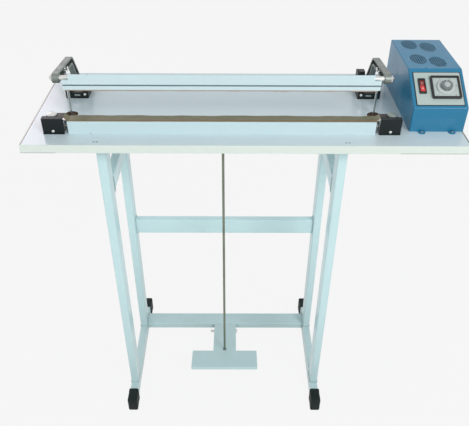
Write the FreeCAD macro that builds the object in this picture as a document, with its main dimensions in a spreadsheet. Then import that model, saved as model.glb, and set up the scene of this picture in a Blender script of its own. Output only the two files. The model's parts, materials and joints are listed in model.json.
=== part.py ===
import FreeCAD, Part
import math
import os
import re

import Sketcher
from FreeCAD import Placement, Rotation, Vector

# A foot-operated bar sealer: a table on a welded tube stand, a fixed lower jaw with a
# heated ribbon, an upper jaw on two swinging arms, and a treadle that pulls the arms down
# through a centre rod, a yoke under the table and two pull rods.
# Millimetres. X runs to the right, Y to the back, Z up. The origin lies on the floor under
# the middle of the table.

SIZES = {
    # table
    "table_width": 900,
    "table_depth": 350,
    "table_thick": 18,
    "table_height": 836,
    "edge_thick": 1.5,
    # stand
    "stand_shift": -48,
    "stand_margin": 375,
    "tube_wide": 20,
    "tube_deep": 40,
    "tube_wall": 1.5,
    "tube_corner": 3,
    "leg_setback": 41,
    "leg_margin": 139,
    "base_length": 390,
    "cap_wall": 3,
    "cap_length": 36,
    "rail_drop": 108,
    "bar_drop": 368,
    "lower_bar_setback": 10,
    "bar_deep": 45,
    "strip_thick": 3,
    "strip_wide": 32,
    # screws
    "screw_shank": 4,
    "screw_head": 8,
    "screw_head_tall": 2.6,
    "screw_bite": 12,
    "hole_clear": 0.1,
    "seat_gap": 0.3,
    "pin_clear": 0.05,
    # lower jaw
    "jaw_margin": 275,
    "jaw_depth": 25,
    "jaw_setback": 46,
    "lower_jaw_tall": 28,
    "jaw_wall": 2.5,
    "insulation_thick": 1,
    "insulation_wide": 20,
    "ribbon_thick": 0.5,
    "ribbon_wide": 4,
    "cover_cloth_thick": 0.4,
    "cover_cloth_wide": 23,
    "cloth_tail": 1,
    "curl_reach": 8,
    "curl_rise": 6,
    # jaw ends
    "cover_offset": 8.5,
    "cover_wide": 43,
    "cover_tall": 34,
    "cover_lip": 12,
    "cover_wall": 2,
    "block_deep": 42,
    "block_tall": 25,
    "block_screw_height": 6,
    "cap_nut_dia": 22,
    "cap_nut_tall": 6,
    "cap_nut_inset": 29,
    "cap_nut_setback": 77,
    "lug_thick": 1.5,
    "lug_deep": 12,
    "lug_drop": 22,
    # arms
    "arm_offset": 13.5,
    "arm_wide": 12,
    "arm_web": 3,
    "arm_rim": 4,
    "pivot_setback": 224,
    "pivot_height": 38,
    "pivot_dia": 10,
    "pivot_boss": 20,
    "jaw_pin_setback": 72,
    "jaw_pin_height": 110.5,
    "jaw_pin_dia": 7,
    "jaw_pin_boss": 20,
    "shoulder_setback": 176,
    "shoulder_height": 110,
    "shoulder_bend": 24,
    "crook_setback": 186,
    "crook_height": 94,
    "crook_bend": 12,
    "tail_reach": 22,
    "tail_drop": 6,
    "tail_boss": 12,
    "tail_pin_dia": 4,
    # arm housings
    "housing_wide": 50,
    "housing_offset": 3,
    "crown_dia": 26,
    "housing_front": 14,
    "housing_back": 44,
    "housing_wall": 3,
    "housing_front_tall": 14,
    "housing_back_tall": 14,
    "pin_head_dia": 15,
    "pin_head_tall": 4,
    "spacer_dia": 16,
    # return springs
    "spring_dia": 10,
    "spring_wire": 1.6,
    "spring_pitch": 2.2,
    "spring_hook": 6,
    # end switch
    "switch_thick": 12,
    "switch_tall": 9,
    "switch_long": 28,
    "switch_nose": 16,
    "switch_arm_tall": 4,
    "switch_base_height": 46,
    "switch_start": 11,
    "lever_height": 34.7,
    "lever_thick": 0.8,
    "lever_wide": 5,
    "lever_pivot_out": 37,
    "lever_pivot_dia": 2,
    "lever_start": 18.5,
    "pin_over": 4,
    # upper jaw
    "upper_jaw_tall": 31,
    "upper_back_tall": 21,
    "ridge_wide": 3,
    "upper_pin_rise": 19.5,
    "end_cut": 13.5,
    "end_step": 19.5,
    "groove_height": 8,
    "groove_tall": 3,
    "groove_deep": 3,
    "end_block_long": 22,
    "rubber_thick": 5,
    "rubber_wide": 16,
    "rubber_short": 3.5,
    "acorn_dia": 14,
    "acorn_long": 7,
    "sleeve_dia": 10,
    # pull frame
    "rod_setback": 138,
    "rod_offset": 0.3,
    "rod_dia": 6,
    "pull_rod_dia": 5,
    "rod_pin_height": 101.5,
    "rod_pin_dia": 7,
    "rod_eye_dia": 13,
    "rod_eye_wide": 5,
    "rod_hole_dia": 29,
    "rod_hole_forward": 6,
    "rod_slot": 11,
    "yoke_drop": 46,
    "yoke_side": 20,
    "yoke_over": 14,
    "yoke_wall": 1.5,
    "nut_wide": 10,
    "nut_tall": 5,
    "end_nut_dia": 14,
    "end_nut_tall": 8,
    # treadle
    "treadle_pivot_out": 14,
    "treadle_pivot_height": 24,
    "treadle_rise": 12,
    "treadle_pin_dia": 8,
    "treadle_pin_over": 12,
    "treadle_sheet": 3,
    "treadle_stem": 66,
    "treadle_stem_rise": 21,
    "treadle_cheek": 12,
    "treadle_ear": 9,
    "pedal_wide": 186,
    "pedal_deep": 73,
    "pedal_gap": 2,
    "pedal_lip": 9,
    "treadle_hole": 11,
    "bracket_thick": 4,
    "bracket_gap": 1.5,
    "bracket_radius": 9,
    # control box
    "box_gap": 31.5,
    "box_wide": 112,
    "box_setback": 60,
    "box_rear_gap": 41,
    "box_tall": 102,
    "box_front_tall": 53,
    "box_slope_deep": 84,
    "box_sheet": 1.5,
    "box_corner": 2.5,
    "chassis_thick": 2,
    "lug_wide": 14,
    "lug_out": 9,
    "lug_spacing": 62,
    "vent_wide": 34,
    "vent_deep": 54,
    "vent_slot": 2.4,
    "vent_pitch": 4.8,
    "vent_across": 38,
    "vent_shift": -4,
    "vent_setback": 50,
    "vent_stagger": 14,
    "panel_wide": 98,
    "panel_long": 81,
    "panel_start": 6,
    "panel_thick": 1.2,
    "timer_face": 58,
    "timer_left": 34,
    "timer_up": 13,
    "timer_frame_tall": 7,
    "timer_body": 46,
    "timer_body_deep": 45,
    "knob_dia": 27,
    "knob_tall": 11,
    "knob_ring_dia": 37,
    "knob_ring_tall": 4,
    "knob_shaft_dia": 6,
    "rocker_wide": 14,
    "rocker_long": 32,
    "rocker_left": 9,
    "rocker_up": 30,
    "rocker_bezel_tall": 2.5,
    "rocker_body_deep": 20,
    "rocker_pin_dia": 2,
    "core_wide": 66,
    "core_deep": 30,
    "core_tall": 56,
    "coil_wide": 44,
    "coil_deep": 54,
    "coil_tall": 36,
    "core_gap": 36,
    "strip_block_wide": 60,
    "strip_block_deep": 18,
    "strip_block_tall": 16,
    "gland_dia": 16,
    "gland_bore": 8,
    "gland_out": 14,
    "gland_height": 24,
    "strip_gap": 14,
}

# Places worked out from the sizes.
PLACES = {
    "stand_width": "table_width - stand_margin",
    "leg_spacing": "table_depth - leg_margin",
    "jaw_length": "table_width - jaw_margin",
    "arm_spread": "jaw_length / 2 + arm_offset",
    "rod_spread": "arm_spread + rod_offset",
    "cover_near": "jaw_length / 2 + cover_offset",
    "cap_nut_out": "cover_near + cap_nut_inset",
    "box_near": "housing_out + box_gap",
    "box_deep": "table_depth - box_setback - box_rear_gap",
    "front_edge": "-table_depth / 2",
    "rear_edge": "table_depth / 2",
    "table_under": "table_height - table_thick",
    "stand_left": "stand_shift - stand_width / 2",
    "stand_right": "stand_shift + stand_width / 2",
    "leg_top": "table_under - strip_thick",
    "side_rail_top": "table_under - rail_drop",
    "upper_bar_top": "table_under - bar_drop",
    "base_under": "cap_wall",
    "base_top": "cap_wall + tube_deep",
    "front_leg_face": "front_edge + leg_setback",
    "rear_leg_face": "front_leg_face + leg_spacing",
    "lower_bar_face": "rear_leg_face + lower_bar_setback",
    "jaw_face": "front_edge + jaw_setback",
    "jaw_back": "jaw_face + jaw_depth",
    "jaw_middle": "jaw_face + jaw_depth / 2",
    "lower_jaw_top": "table_height + lower_jaw_tall",
    "insulation_top": "lower_jaw_top + insulation_thick",
    "ribbon_top": "insulation_top + ribbon_thick",
    "cloth_top": "ribbon_top + cover_cloth_thick",
    "pivot_y": "front_edge + pivot_setback",
    "pivot_z": "table_height + pivot_height",
    "jaw_pin_y": "front_edge + jaw_pin_setback",
    "jaw_pin_z": "table_height + jaw_pin_height",
    "upper_face": "jaw_pin_y - jaw_depth / 2",
    "upper_back": "jaw_pin_y + jaw_depth / 2",
    "upper_base": "jaw_pin_z - upper_pin_rise",
    "upper_top": "upper_base + upper_jaw_tall",
    "jaw_slope": "(upper_jaw_tall - upper_back_tall) / (jaw_depth - ridge_wide)",
    "arm_in": "arm_spread - arm_wide / 2",
    "arm_out": "arm_spread + arm_wide / 2",
    "web_in": "arm_out - arm_web",
    "rod_y": "front_edge + rod_setback",
    "rod_pin_z": "table_height + rod_pin_height",
    "yoke_top": "table_under - yoke_drop",
    "yoke_under": "yoke_top - yoke_side",
    "treadle_y": "lower_bar_face - treadle_pivot_out",
    "housing_mid": "arm_spread + housing_offset",
    "housing_in": "housing_mid - housing_wide / 2",
    "housing_out": "housing_mid + housing_wide / 2",
    "housing_face": "pivot_y - housing_front",
    "housing_rear": "pivot_y + housing_back",
    "housing_floor": "table_height + housing_wall",
    "tail_y": "pivot_y + tail_reach",
    "tail_z": "pivot_z - tail_drop",
    "switch_face": "pivot_y + switch_start",
    "switch_base": "table_height + switch_base_height",
    "lever_y": "pivot_y + lever_pivot_out",
    "lever_z": "table_height + lever_height",
    "box_left": "stand_shift + box_near",
    "box_right": "box_left + box_wide",
    "box_middle": "box_left + box_wide / 2",
    "box_face": "front_edge + box_setback",
    "box_rear": "box_face + box_deep",
    "box_top": "table_height + box_tall",
    "chassis_top": "table_height + chassis_thick",
    "core_y": "box_face + box_slope_deep + core_gap",
}

size = dict(SIZES)
doc = FreeCAD.newDocument("foot_sealer")
sheet = doc.addObject("Spreadsheet::Sheet", "Sizes")
for row, (word, number) in enumerate(SIZES.items(), start=1):
    sheet.set(f"A{row}", word)
    sheet.set(f"B{row}", str(number))
    sheet.setAlias(f"B{row}", word)
doc.recompute()

parts = []
WORD = re.compile(r"[a-z_]+")
SIDES = {"left": -1, "right": 1}
PLANES = {"x": "YZ_Plane", "y": "XZ_Plane", "z": "XY_Plane"}
TURNS = {
    "x": Rotation(Vector(0, 1, 0), 90),
    "y": Rotation(Vector(1, 0, 0), -90),
    "z": Rotation(),
}


def formula(text):
    """Write a place in words as a formula on the cells of the sheet."""
    def swap(match):
        word = match.group()
        if word in PLACES:
            return "(" + formula(PLACES[word]) + ")"
        if word in SIZES:
            return "Sizes." + word
        return word
    return WORD.sub(swap, str(text))


def span(side, near, far):
    """Low and high X of what lies between two distances from the stand's middle."""
    if side == "left":
        return f"stand_shift - ({far})", f"stand_shift - ({near})"
    return f"stand_shift + ({near})", f"stand_shift + ({far})"


def out(side, distance):
    """X at a distance to one side of the stand's middle."""
    sign = "-" if side == "left" else "+"
    return f"stand_shift {sign} ({distance})"


def box(name, x, y, z):
    """A block between a low and a high place along each axis."""
    block = doc.addObject("Part::Box", name)
    for length, axis, (low, high) in zip(("Length", "Width", "Height"), "xyz", (x, y, z)):
        block.setExpression(length, formula(f"({high}) - ({low})"))
        block.setExpression(f"Placement.Base.{axis}", formula(low))
    return block


def drum(name, axis, diameter, ends, middle):
    """A cylinder along an axis, between two places, about a middle on the other two axes."""
    rod = doc.addObject("Part::Cylinder", name)
    rod.Placement = Placement(Vector(), TURNS[axis])
    rod.setExpression("Radius", formula(f"({diameter}) / 2"))
    rod.setExpression("Height", formula(f"({ends[1]}) - ({ends[0]})"))
    rod.setExpression(f"Placement.Base.{axis}", formula(ends[0]))
    others = [other for other in "xyz" if other != axis]
    for other, place in zip(others, middle):
        rod.setExpression(f"Placement.Base.{other}", formula(place))
    return rod


def cone(name, axis, wide, narrow, ends, middle):
    """A cylinder whose diameter changes from its low end to its high end."""
    rod = doc.addObject("Part::Cone", name)
    rod.Placement = Placement(Vector(), TURNS[axis])
    rod.setExpression("Radius1", formula(f"({wide}) / 2"))
    rod.setExpression("Radius2", formula(f"({narrow}) / 2"))
    rod.setExpression("Height", formula(f"({ends[1]}) - ({ends[0]})"))
    rod.setExpression(f"Placement.Base.{axis}", formula(ends[0]))
    others = [other for other in "xyz" if other != axis]
    for other, place in zip(others, middle):
        rod.setExpression(f"Placement.Base.{other}", formula(place))
    return rod


def ball(name, diameter, x, y, z):
    """A sphere about a place."""
    sphere = doc.addObject("Part::Sphere", name)
    sphere.setExpression("Radius", formula(f"({diameter}) / 2"))
    for axis, place in zip("xyz", (x, y, z)):
        sphere.setExpression(f"Placement.Base.{axis}", formula(place))
    return sphere


def fuse(name, *pieces):
    joined = doc.addObject("Part::MultiFuse", name)
    joined.Shapes = list(pieces)
    joined.Refine = True
    return joined


def cut(name, base, *tools):
    tool = tools[0]
    if len(tools) > 1:
        tool = doc.addObject("Part::Compound", name + "_cuts")
        tool.Links = list(tools)
    piece = doc.addObject("Part::Cut", name)
    piece.Base = base
    piece.Tool = tool
    piece.Refine = True
    return piece


def group(name, *pieces):
    """Identical loose pieces that share one node."""
    several = doc.addObject("Part::Compound", name)
    several.Links = list(pieces)
    return several


def sub_part(name, piece):
    """Name a finished piece and put it on the list of parts."""
    piece.Label = name
    parts.append(piece)
    return piece


def new_body(name, axis):
    """A body with an empty sketch on the plane across the given axis."""
    body = doc.addObject("PartDesign::Body", name)
    plane = next(item for item in body.Origin.OriginFeatures if item.Role == PLANES[axis])
    sketch = body.newObject("Sketcher::SketchObject", name + "_sketch")
    sketch.AttachmentSupport = [(plane, "")]
    sketch.MapMode = "FlatFace"
    return body, sketch


def tie(sketch, kind, curve, point, start, place):
    """Hold a point of a sketch at a place along one direction."""
    number = sketch.addConstraint(Sketcher.Constraint(kind, -1, 1, curve, point, start))
    sketch.setExpression(f"Constraints[{number}]", formula(place))


def draw_outline(sketch, corners):
    """A closed run of straight lines whose corners are tied to their places."""
    first = sketch.GeometryCount
    count = len(corners)
    loose = []
    for index in range(count):
        turn = 2 * math.pi * index / count
        loose.append(Vector(50 + 40 * math.cos(turn), 50 + 40 * math.sin(turn), 0))
    for index in range(count):
        sketch.addGeometry(Part.LineSegment(loose[index], loose[(index + 1) % count]))
    for index in range(count):
        after = first + (index + 1) % count
        sketch.addConstraint(Sketcher.Constraint("Coincident", first + index, 2, after, 1))
    for index, (across, up) in enumerate(corners):
        tie(sketch, "DistanceX", first + index, 1, loose[index].x, across)
        tie(sketch, "DistanceY", first + index, 1, loose[index].y, up)


def draw_circle(sketch, diameter, across, up):
    """A circle whose middle and radius are tied to the sizes."""
    start = Vector(50, 50, 0)
    curve = sketch.addGeometry(Part.Circle(start, Vector(0, 0, 1), 5))
    tie(sketch, "DistanceX", curve, 3, start.x, across)
    tie(sketch, "DistanceY", curve, 3, start.y, up)
    number = sketch.addConstraint(Sketcher.Constraint("Radius", curve, 5.0))
    sketch.setExpression(f"Constraints[{number}]", formula(f"({diameter}) / 2"))


def rectangle(across, up):
    """The four corners between two places across and two places up."""
    return [(across[0], up[0]), (across[1], up[0]), (across[1], up[1]), (across[0], up[1])]


def profile(name, axis, ends, outlines, circles=()):
    """A body padded along an axis from closed outlines, the later ones being its hollows."""
    body, sketch = new_body(name, axis)
    for corners in outlines:
        draw_outline(sketch, corners)
    for diameter, across, up in circles:
        draw_circle(sketch, diameter, across, up)
    pad = body.newObject("PartDesign::Pad", name + "_pad")
    pad.Profile = sketch
    pad.setExpression("Length", formula(f"({ends[1]}) - ({ends[0]})"))
    start = ends[1] if axis == "y" else ends[0]
    body.setExpression(f"Placement.Base.{axis}", formula(start))
    return body, pad


def round_edges(body, feature, radius, wanted):
    """Round the edges of a feature that the test picks by their middle and direction."""
    doc.recompute()
    names = []
    for number, edge in enumerate(feature.Shape.Edges, start=1):
        if len(edge.Vertexes) != 2:
            continue
        run = edge.Vertexes[1].Point - edge.Vertexes[0].Point
        if wanted(edge.CenterOfMass, run):
            names.append(f"Edge{number}")
    fillet = body.newObject("PartDesign::Fillet", body.Name + "_fillet")
    fillet.Base = (feature, names)
    fillet.setExpression("Radius", formula(radius))
    doc.recompute()
    return fillet


def tube(name, axis, ends, across, up):
    """A rectangular steel tube with rounded outer corners, open at its two ends."""
    inside_across = (f"{across[0]} + tube_wall", f"{across[1]} - tube_wall")
    inside_up = (f"{up[0]} + tube_wall", f"{up[1]} - tube_wall")
    outlines = [rectangle(across, up), rectangle(inside_across, inside_up)]
    body, pad = profile(name, axis, ends, outlines)
    doc.recompute()
    bounds = pad.Shape.BoundBox
    low = {"x": bounds.XMin, "y": bounds.YMin, "z": bounds.ZMin}
    high = {"x": bounds.XMax, "y": bounds.YMax, "z": bounds.ZMax}

    def outer_corner(middle, run):
        point = {"x": middle.x, "y": middle.y, "z": middle.z}
        along = {"x": abs(run.x), "y": abs(run.y), "z": abs(run.z)}[axis]
        sides = [other for other in "xyz" if other != axis]
        at_corner = all(min(point[s] - low[s], high[s] - point[s]) < 0.01 for s in sides)
        return at_corner and along > 0.9 * run.Length
    round_edges(body, pad, "tube_corner", outer_corner)
    return sub_part(name, body)


def prism(name, axis, sides, diameter, ends, middle):
    """A straight bar with flats, the given distance across its corners."""
    bar = doc.addObject("Part::Prism", name)
    bar.Polygon = sides
    bar.Placement = Placement(Vector(), TURNS[axis])
    bar.setExpression("Circumradius", formula(f"({diameter}) / 2"))
    bar.setExpression("Height", formula(f"({ends[1]}) - ({ends[0]})"))
    bar.setExpression(f"Placement.Base.{axis}", formula(ends[0]))
    others = [other for other in "xyz" if other != axis]
    for other, place in zip(others, middle):
        bar.setExpression(f"Placement.Base.{other}", formula(place))
    return bar


def screw(name, axis, seat, toward, middle, sides=12):
    """A screw: head on its seat, shank towards lower (-1) or higher (+1) places."""
    if toward < 0:
        ends = (f"{seat} - screw_bite", seat)
        head_ends = (seat, f"{seat} + screw_head_tall")
    else:
        ends = (seat, f"{seat} + screw_bite")
        head_ends = (f"{seat} - screw_head_tall", seat)
    shank = prism(name + "_shank", axis, 8, "screw_shank", ends, middle)
    head = prism(name + "_head", axis, sides, "screw_head", head_ends, middle)
    return fuse(name, shank, head)


def screw_hole(name, axis, ends, middle):
    """What is taken away for a screw's shank."""
    return prism(name, axis, 8, "screw_shank + 2 * hole_clear", ends, middle)


# Where screws go into the table, as X and Y
STRIP_SCREWS = [
    (out(side, "stand_width / 2 - tube_wide / 2"), f"front_leg_face + {place}")
    for side in SIDES
    for place in ("tube_deep + 20", "leg_spacing / 2 + tube_deep / 2", "leg_spacing - 20")
]
HOUSING_SCREWS = [
    (out(side, f"housing_mid {sign} (housing_wide / 2 - housing_wall - screw_head)"),
     "housing_rear - screw_head")
    for side in SIDES for sign in "+-"
]
BOX_SCREWS = [
    (f"box_middle {sign} lug_spacing / 2", "box_face - lug_out / 2") for sign in "+-"
] + [
    (f"box_middle {sign} lug_spacing / 2", "box_rear + lug_out / 2") for sign in "+-"
]
JAW_BOLTS = [
    (out(side, "jaw_length / 2 - 22"), "jaw_middle") for side in SIDES
]


# Table board with its two rod holes, and the band glued round its edge
def table():
    half_wide = "(table_width / 2 - edge_thick)"
    half_deep = "(table_depth / 2 - edge_thick)"
    inner = rectangle((f"-{half_wide}", half_wide), (f"-{half_deep}", half_deep))
    outer = rectangle(("-table_width / 2", "table_width / 2"), ("front_edge", "rear_edge"))
    holes = [("rod_hole_dia", out(side, "rod_spread"), "rod_y - rod_hole_forward")
             for side in SIDES]
    board, _ = profile("board_blank", "z", ("table_under", "table_height"), [inner], holes)
    bores = []
    for index, middle in enumerate(STRIP_SCREWS):
        ends = ("table_under - 1", "leg_top + screw_bite + 1")
        bores.append(screw_hole(f"strip_bore_{index}", "z", ends, middle))
    for index, middle in enumerate(HOUSING_SCREWS + BOX_SCREWS):
        ends = ("table_height - screw_bite - 1", "table_height + 1")
        bores.append(screw_hole(f"top_bore_{index}", "z", ends, middle))
    for index, middle in enumerate(JAW_BOLTS):
        ends = ("table_under - 1", "table_height + 1")
        bores.append(screw_hole(f"bolt_bore_{index}", "z", ends, middle))
    sub_part("table_board", cut("table_board", board, *bores))
    band, _ = profile("edge_band", "z", ("table_under", "table_height"), [outer, inner])
    sub_part("edge_band", band)


# Welded stand: two side frames of rectangular tube joined by two crossbars
def stand():
    caps = []
    for side in SIDES:
        x = span(side, "stand_width / 2 - tube_wide", "stand_width / 2")
        for name, face in (("front", "front_leg_face"), ("rear", "rear_leg_face")):
            tube(f"{name}_leg_{side}", "z", ("base_top", "leg_top"), x, (face, f"{face} + tube_deep"))
        half = "base_length / 2"
        tube(f"base_tube_{side}", "y", (f"-{half}", half), x, ("base_under", "base_top"))
        rail_up = ("side_rail_top - tube_deep", "side_rail_top")
        tube(f"side_rail_{side}", "y", ("front_leg_face + tube_deep", "rear_leg_face"), x, rail_up)
        wide_x = (f"{x[0]} - cap_wall", f"{x[1]} + cap_wall")
        tall_z = ("base_under - cap_wall", "base_top + cap_wall")
        for end, outer_y, inner_y in (
            ("front", (f"-{half} - cap_wall", f"-{half} + cap_length"), (f"-{half}", "0")),
            ("rear", (f"{half} - cap_length", f"{half} + cap_wall"), ("0", half)),
        ):
            name = f"cap_{end}_{side}"
            shell, pad = profile(name + "_shell", "y", outer_y, [rectangle(wide_x, tall_z)])
            bevel = shell.newObject("PartDesign::Chamfer", name + "_bevel")
            bevel.Base = (pad, [f"Edge{number}" for number in range(1, 13)])
            bevel.setExpression("Size", formula("cap_wall * 0.7"))
            core = box(name + "_core", x, inner_y, ("base_under", "base_top"))
            caps.append(cut(name, shell, core))
    sub_part("foot_caps", group("foot_caps", *caps))
    bar_x = ("stand_left + tube_wide", "stand_right - tube_wide")
    bar_y = ("rear_leg_face + (tube_deep - tube_wide) / 2", "rear_leg_face + (tube_deep + tube_wide) / 2")
    tube("upper_crossbar", "x", bar_x, bar_y, ("upper_bar_top - bar_deep", "upper_bar_top"))
    low_y = ("lower_bar_face", "lower_bar_face + bar_deep")
    tube("lower_crossbar", "x", bar_x, low_y, ("base_top - tube_wide", "base_top"))


# Flat strips welded on the leg tops, screwed to the table from below
def mounting_strips():
    strips = []
    for side in SIDES:
        middle = "stand_width / 2 - tube_wide / 2"
        x = span(side, f"{middle} - strip_wide / 2", f"{middle} + strip_wide / 2")
        y = ("front_leg_face", "rear_leg_face + tube_deep")
        blank = box(f"strip_{side}_blank", x, y, ("leg_top", "table_under"))
        own = [place for place in STRIP_SCREWS if place[0] == out(side, middle)]
        bores = [screw_hole(f"strip_{side}_bore_{index}", "z", ("leg_top - 1", "table_under + 1"), place)
                 for index, place in enumerate(own)]
        strips.append(cut(f"strip_{side}", blank, *bores))
    sub_part("mounting_strips", group("mounting_strips", *strips))
    screws = [screw(f"strip_screw_{index}", "z", "leg_top", 1, place, 6)
              for index, place in enumerate(STRIP_SCREWS)]
    sub_part("strip_screws", group("strip_screws", *screws))


# Lower jaw: extruded beam, insulation, heated ribbon and the cloth strip over it
def lower_jaw():
    x = (out("left", "jaw_length / 2"), out("right", "jaw_length / 2"))
    y = ("jaw_face", "jaw_back")
    z = ("table_height", "lower_jaw_top")
    inner_y = ("jaw_face + jaw_wall", "jaw_back - jaw_wall")
    inner_z = ("table_height + jaw_wall", "lower_jaw_top - jaw_wall")
    blank, _ = profile("lower_jaw_blank", "x", x, [rectangle(y, z), rectangle(inner_y, inner_z)])
    bores = [screw_hole(f"jaw_bore_{index}", "z", ("table_height - 1", "table_height + jaw_wall + 1"), place)
             for index, place in enumerate(JAW_BOLTS)]
    sub_part("lower_jaw_beam", cut("lower_jaw_beam", blank, *bores))

    strip_y = ("jaw_middle - insulation_wide / 2", "jaw_middle + insulation_wide / 2")
    sub_part("insulation_strip", box("insulation_strip", x, strip_y, ("lower_jaw_top", "insulation_top")))
    ribbon_x = (f"{x[0]} - lug_thick", f"{x[1]} + lug_thick")
    ribbon_y = ("jaw_middle - ribbon_wide / 2", "jaw_middle + ribbon_wide / 2")
    sub_part("heating_ribbon", box("heating_ribbon", ribbon_x, ribbon_y, ("insulation_top", "ribbon_top")))

    left = out("left", "jaw_length / 2 - cloth_tail")
    right = out("right", "jaw_length / 2 - cloth_tail")
    under = "ribbon_top"
    tail = "curl_reach"
    outline = [
        (f"{left} - {tail}", f"{under} + curl_rise"),
        (f"{left} - {tail} * 0.7", f"{under} + curl_rise * 0.35"),
        (left, under),
        (right, under),
        (f"{right} + {tail} * 0.7", f"{under} + curl_rise * 0.35"),
        (f"{right} + {tail}", f"{under} + curl_rise"),
        (f"{right} + {tail} - cover_cloth_thick", f"{under} + curl_rise"),
        (f"{right} + {tail} * 0.7 - cover_cloth_thick / 2", f"{under} + curl_rise * 0.35 + cover_cloth_thick"),
        (f"{right} - cover_cloth_thick / 2", "cloth_top"),
        (f"{left} + cover_cloth_thick / 2", "cloth_top"),
        (f"{left} - {tail} * 0.7 + cover_cloth_thick / 2", f"{under} + curl_rise * 0.35 + cover_cloth_thick"),
        (f"{left} - {tail} + cover_cloth_thick", f"{under} + curl_rise"),
    ]
    cloth_y = ("jaw_middle - cover_cloth_wide / 2", "jaw_middle + cover_cloth_wide / 2")
    cloth, _ = profile("cover_cloth", "y", cloth_y, [outline])
    sub_part("cover_cloth", cloth)

    bolts = [screw(f"jaw_bolt_{index}", "z", "table_under", 1, place, 6) for index, place in enumerate(JAW_BOLTS)]
    for index, (bolt, place) in enumerate(zip(bolts, JAW_BOLTS)):
        ends = ("table_under", "table_height + jaw_wall")
        stem = prism(f"jaw_bolt_{index}_stem", "z", 8, "screw_shank", ends, place)
        bolts[index] = fuse(f"long_jaw_bolt_{index}", bolt, stem)
    sub_part("jaw_bolts", group("jaw_bolts", *bolts))


# Terminal blocks at the jaw's ends with their front covers, cap nuts and ribbon lugs
def jaw_ends():
    screws, nuts, lugs = [], [], []
    for side in SIDES:
        x = span(side, "cover_near", "cover_near + cover_wide")
        face = "jaw_face"
        back = "jaw_face + cover_wall"
        plate = box(f"end_cover_{side}_plate", x, (face, back), ("table_height", "table_height + cover_tall"))
        lip = box(f"end_cover_{side}_lip", x, (face, "jaw_face + cover_lip"),
                  ("table_height + cover_tall - cover_wall", "table_height + cover_tall"))
        toe = box(f"end_cover_{side}_toe", x, ("jaw_face - cover_wall", back),
                  ("table_height", "table_height + cover_wall"))
        middle = (out(side, "cover_near + cover_wide / 2"), "table_height + block_screw_height")
        cover_bore = screw_hole(f"end_cover_{side}_bore", "y", ("jaw_face - 1", "jaw_face + cover_wall + 1"), middle)
        folded = fuse(f"end_cover_{side}_sheet", plate, lip, toe)
        sub_part(f"end_cover_{side}", cut(f"end_cover_{side}", folded, cover_bore))

        block_x = span(side, "cover_near + cover_wall", "cover_near + cover_wide - cover_wall")
        block = box(f"terminal_block_{side}_blank", block_x, (back, f"{back} + block_deep"),
                    ("table_height", "table_height + block_tall"))
        bore = screw_hole(f"terminal_block_{side}_bore", "y", (f"{back} - 1", f"{back} + screw_bite"), middle)
        nut_middle = (out(side, "cap_nut_out"), "front_edge + cap_nut_setback")
        well = drum(f"terminal_block_{side}_well", "z", "jaw_pin_dia / 2 + 2 * hole_clear",
                    ("table_height + block_tall - 10", "table_height + block_tall + 1"), nut_middle)
        sub_part(f"terminal_block_{side}", cut(f"terminal_block_{side}", block, bore, well))

        nut_base = "table_height + block_tall"
        nut = drum(f"cap_nut_{side}_disc", "z", "cap_nut_dia", (nut_base, f"{nut_base} + cap_nut_tall"), nut_middle)
        stud = drum(f"cap_nut_{side}_stud", "z", "jaw_pin_dia / 2", (f"{nut_base} - 9", nut_base), nut_middle)
        nuts.append(fuse(f"cap_nut_{side}", nut, stud))
        screws.append(screw(f"cover_screw_{side}", "y", "jaw_face", 1, middle))

        top = span(side, "jaw_length / 2", "cover_near + cover_wall")
        lug_y = ("jaw_middle - lug_deep / 2", "jaw_middle + lug_deep / 2")
        lug_top = box(f"lug_{side}_top", top, lug_y, ("insulation_top - lug_thick", "insulation_top"))
        drop = span(side, "cover_near + cover_wall - lug_thick", "cover_near + cover_wall")
        lug_drop = box(f"lug_{side}_drop", drop, lug_y, ("insulation_top - lug_drop", "insulation_top"))
        tip = span(side, "cover_near - 4", "cover_near + cover_wall")
        head = drum(f"lug_{side}_screw", "x", "screw_head", tip,
                    ("jaw_middle", "insulation_top - lug_drop + screw_head / 2 + 2"))
        lugs.append(fuse(f"ribbon_lug_{side}", lug_top, lug_drop, head))
    sub_part("cap_nuts", group("cap_nuts", *nuts))
    sub_part("cover_screws", group("cover_screws", *screws))
    sub_part("ribbon_lugs", group("ribbon_lugs", *lugs))


def number(text):
    """The value of a place, for shapes that are worked out point by point."""
    text = formula(text)
    probe = doc.getObject("Probe") or doc.addObject("Part::Vertex", "Probe")
    probe.setExpression("X", text)
    probe.recompute()
    return probe.X.Value


def tangent(centre_a, radius_a, centre_b, radius_b, side):
    """The two ends of the straight line that touches two circles on one side of the way."""
    way = centre_b - centre_a
    turn = math.asin((radius_a - radius_b) / way.Length) if side > 0 else -math.asin(
        (radius_a - radius_b) / way.Length)
    angle = math.atan2(way.z, way.y) + side * (math.pi / 2) - turn
    normal = Vector(0, math.cos(angle), math.sin(angle))
    return centre_a + normal * radius_a, centre_b + normal * radius_b


def arc(centre, radius, start, end, bulge):
    """An arc about a centre from one point to another, bulging towards a third."""
    middle = bulge - centre
    middle.normalize()
    return Part.Arc(start, centre + middle * radius, end).toShape()


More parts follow.
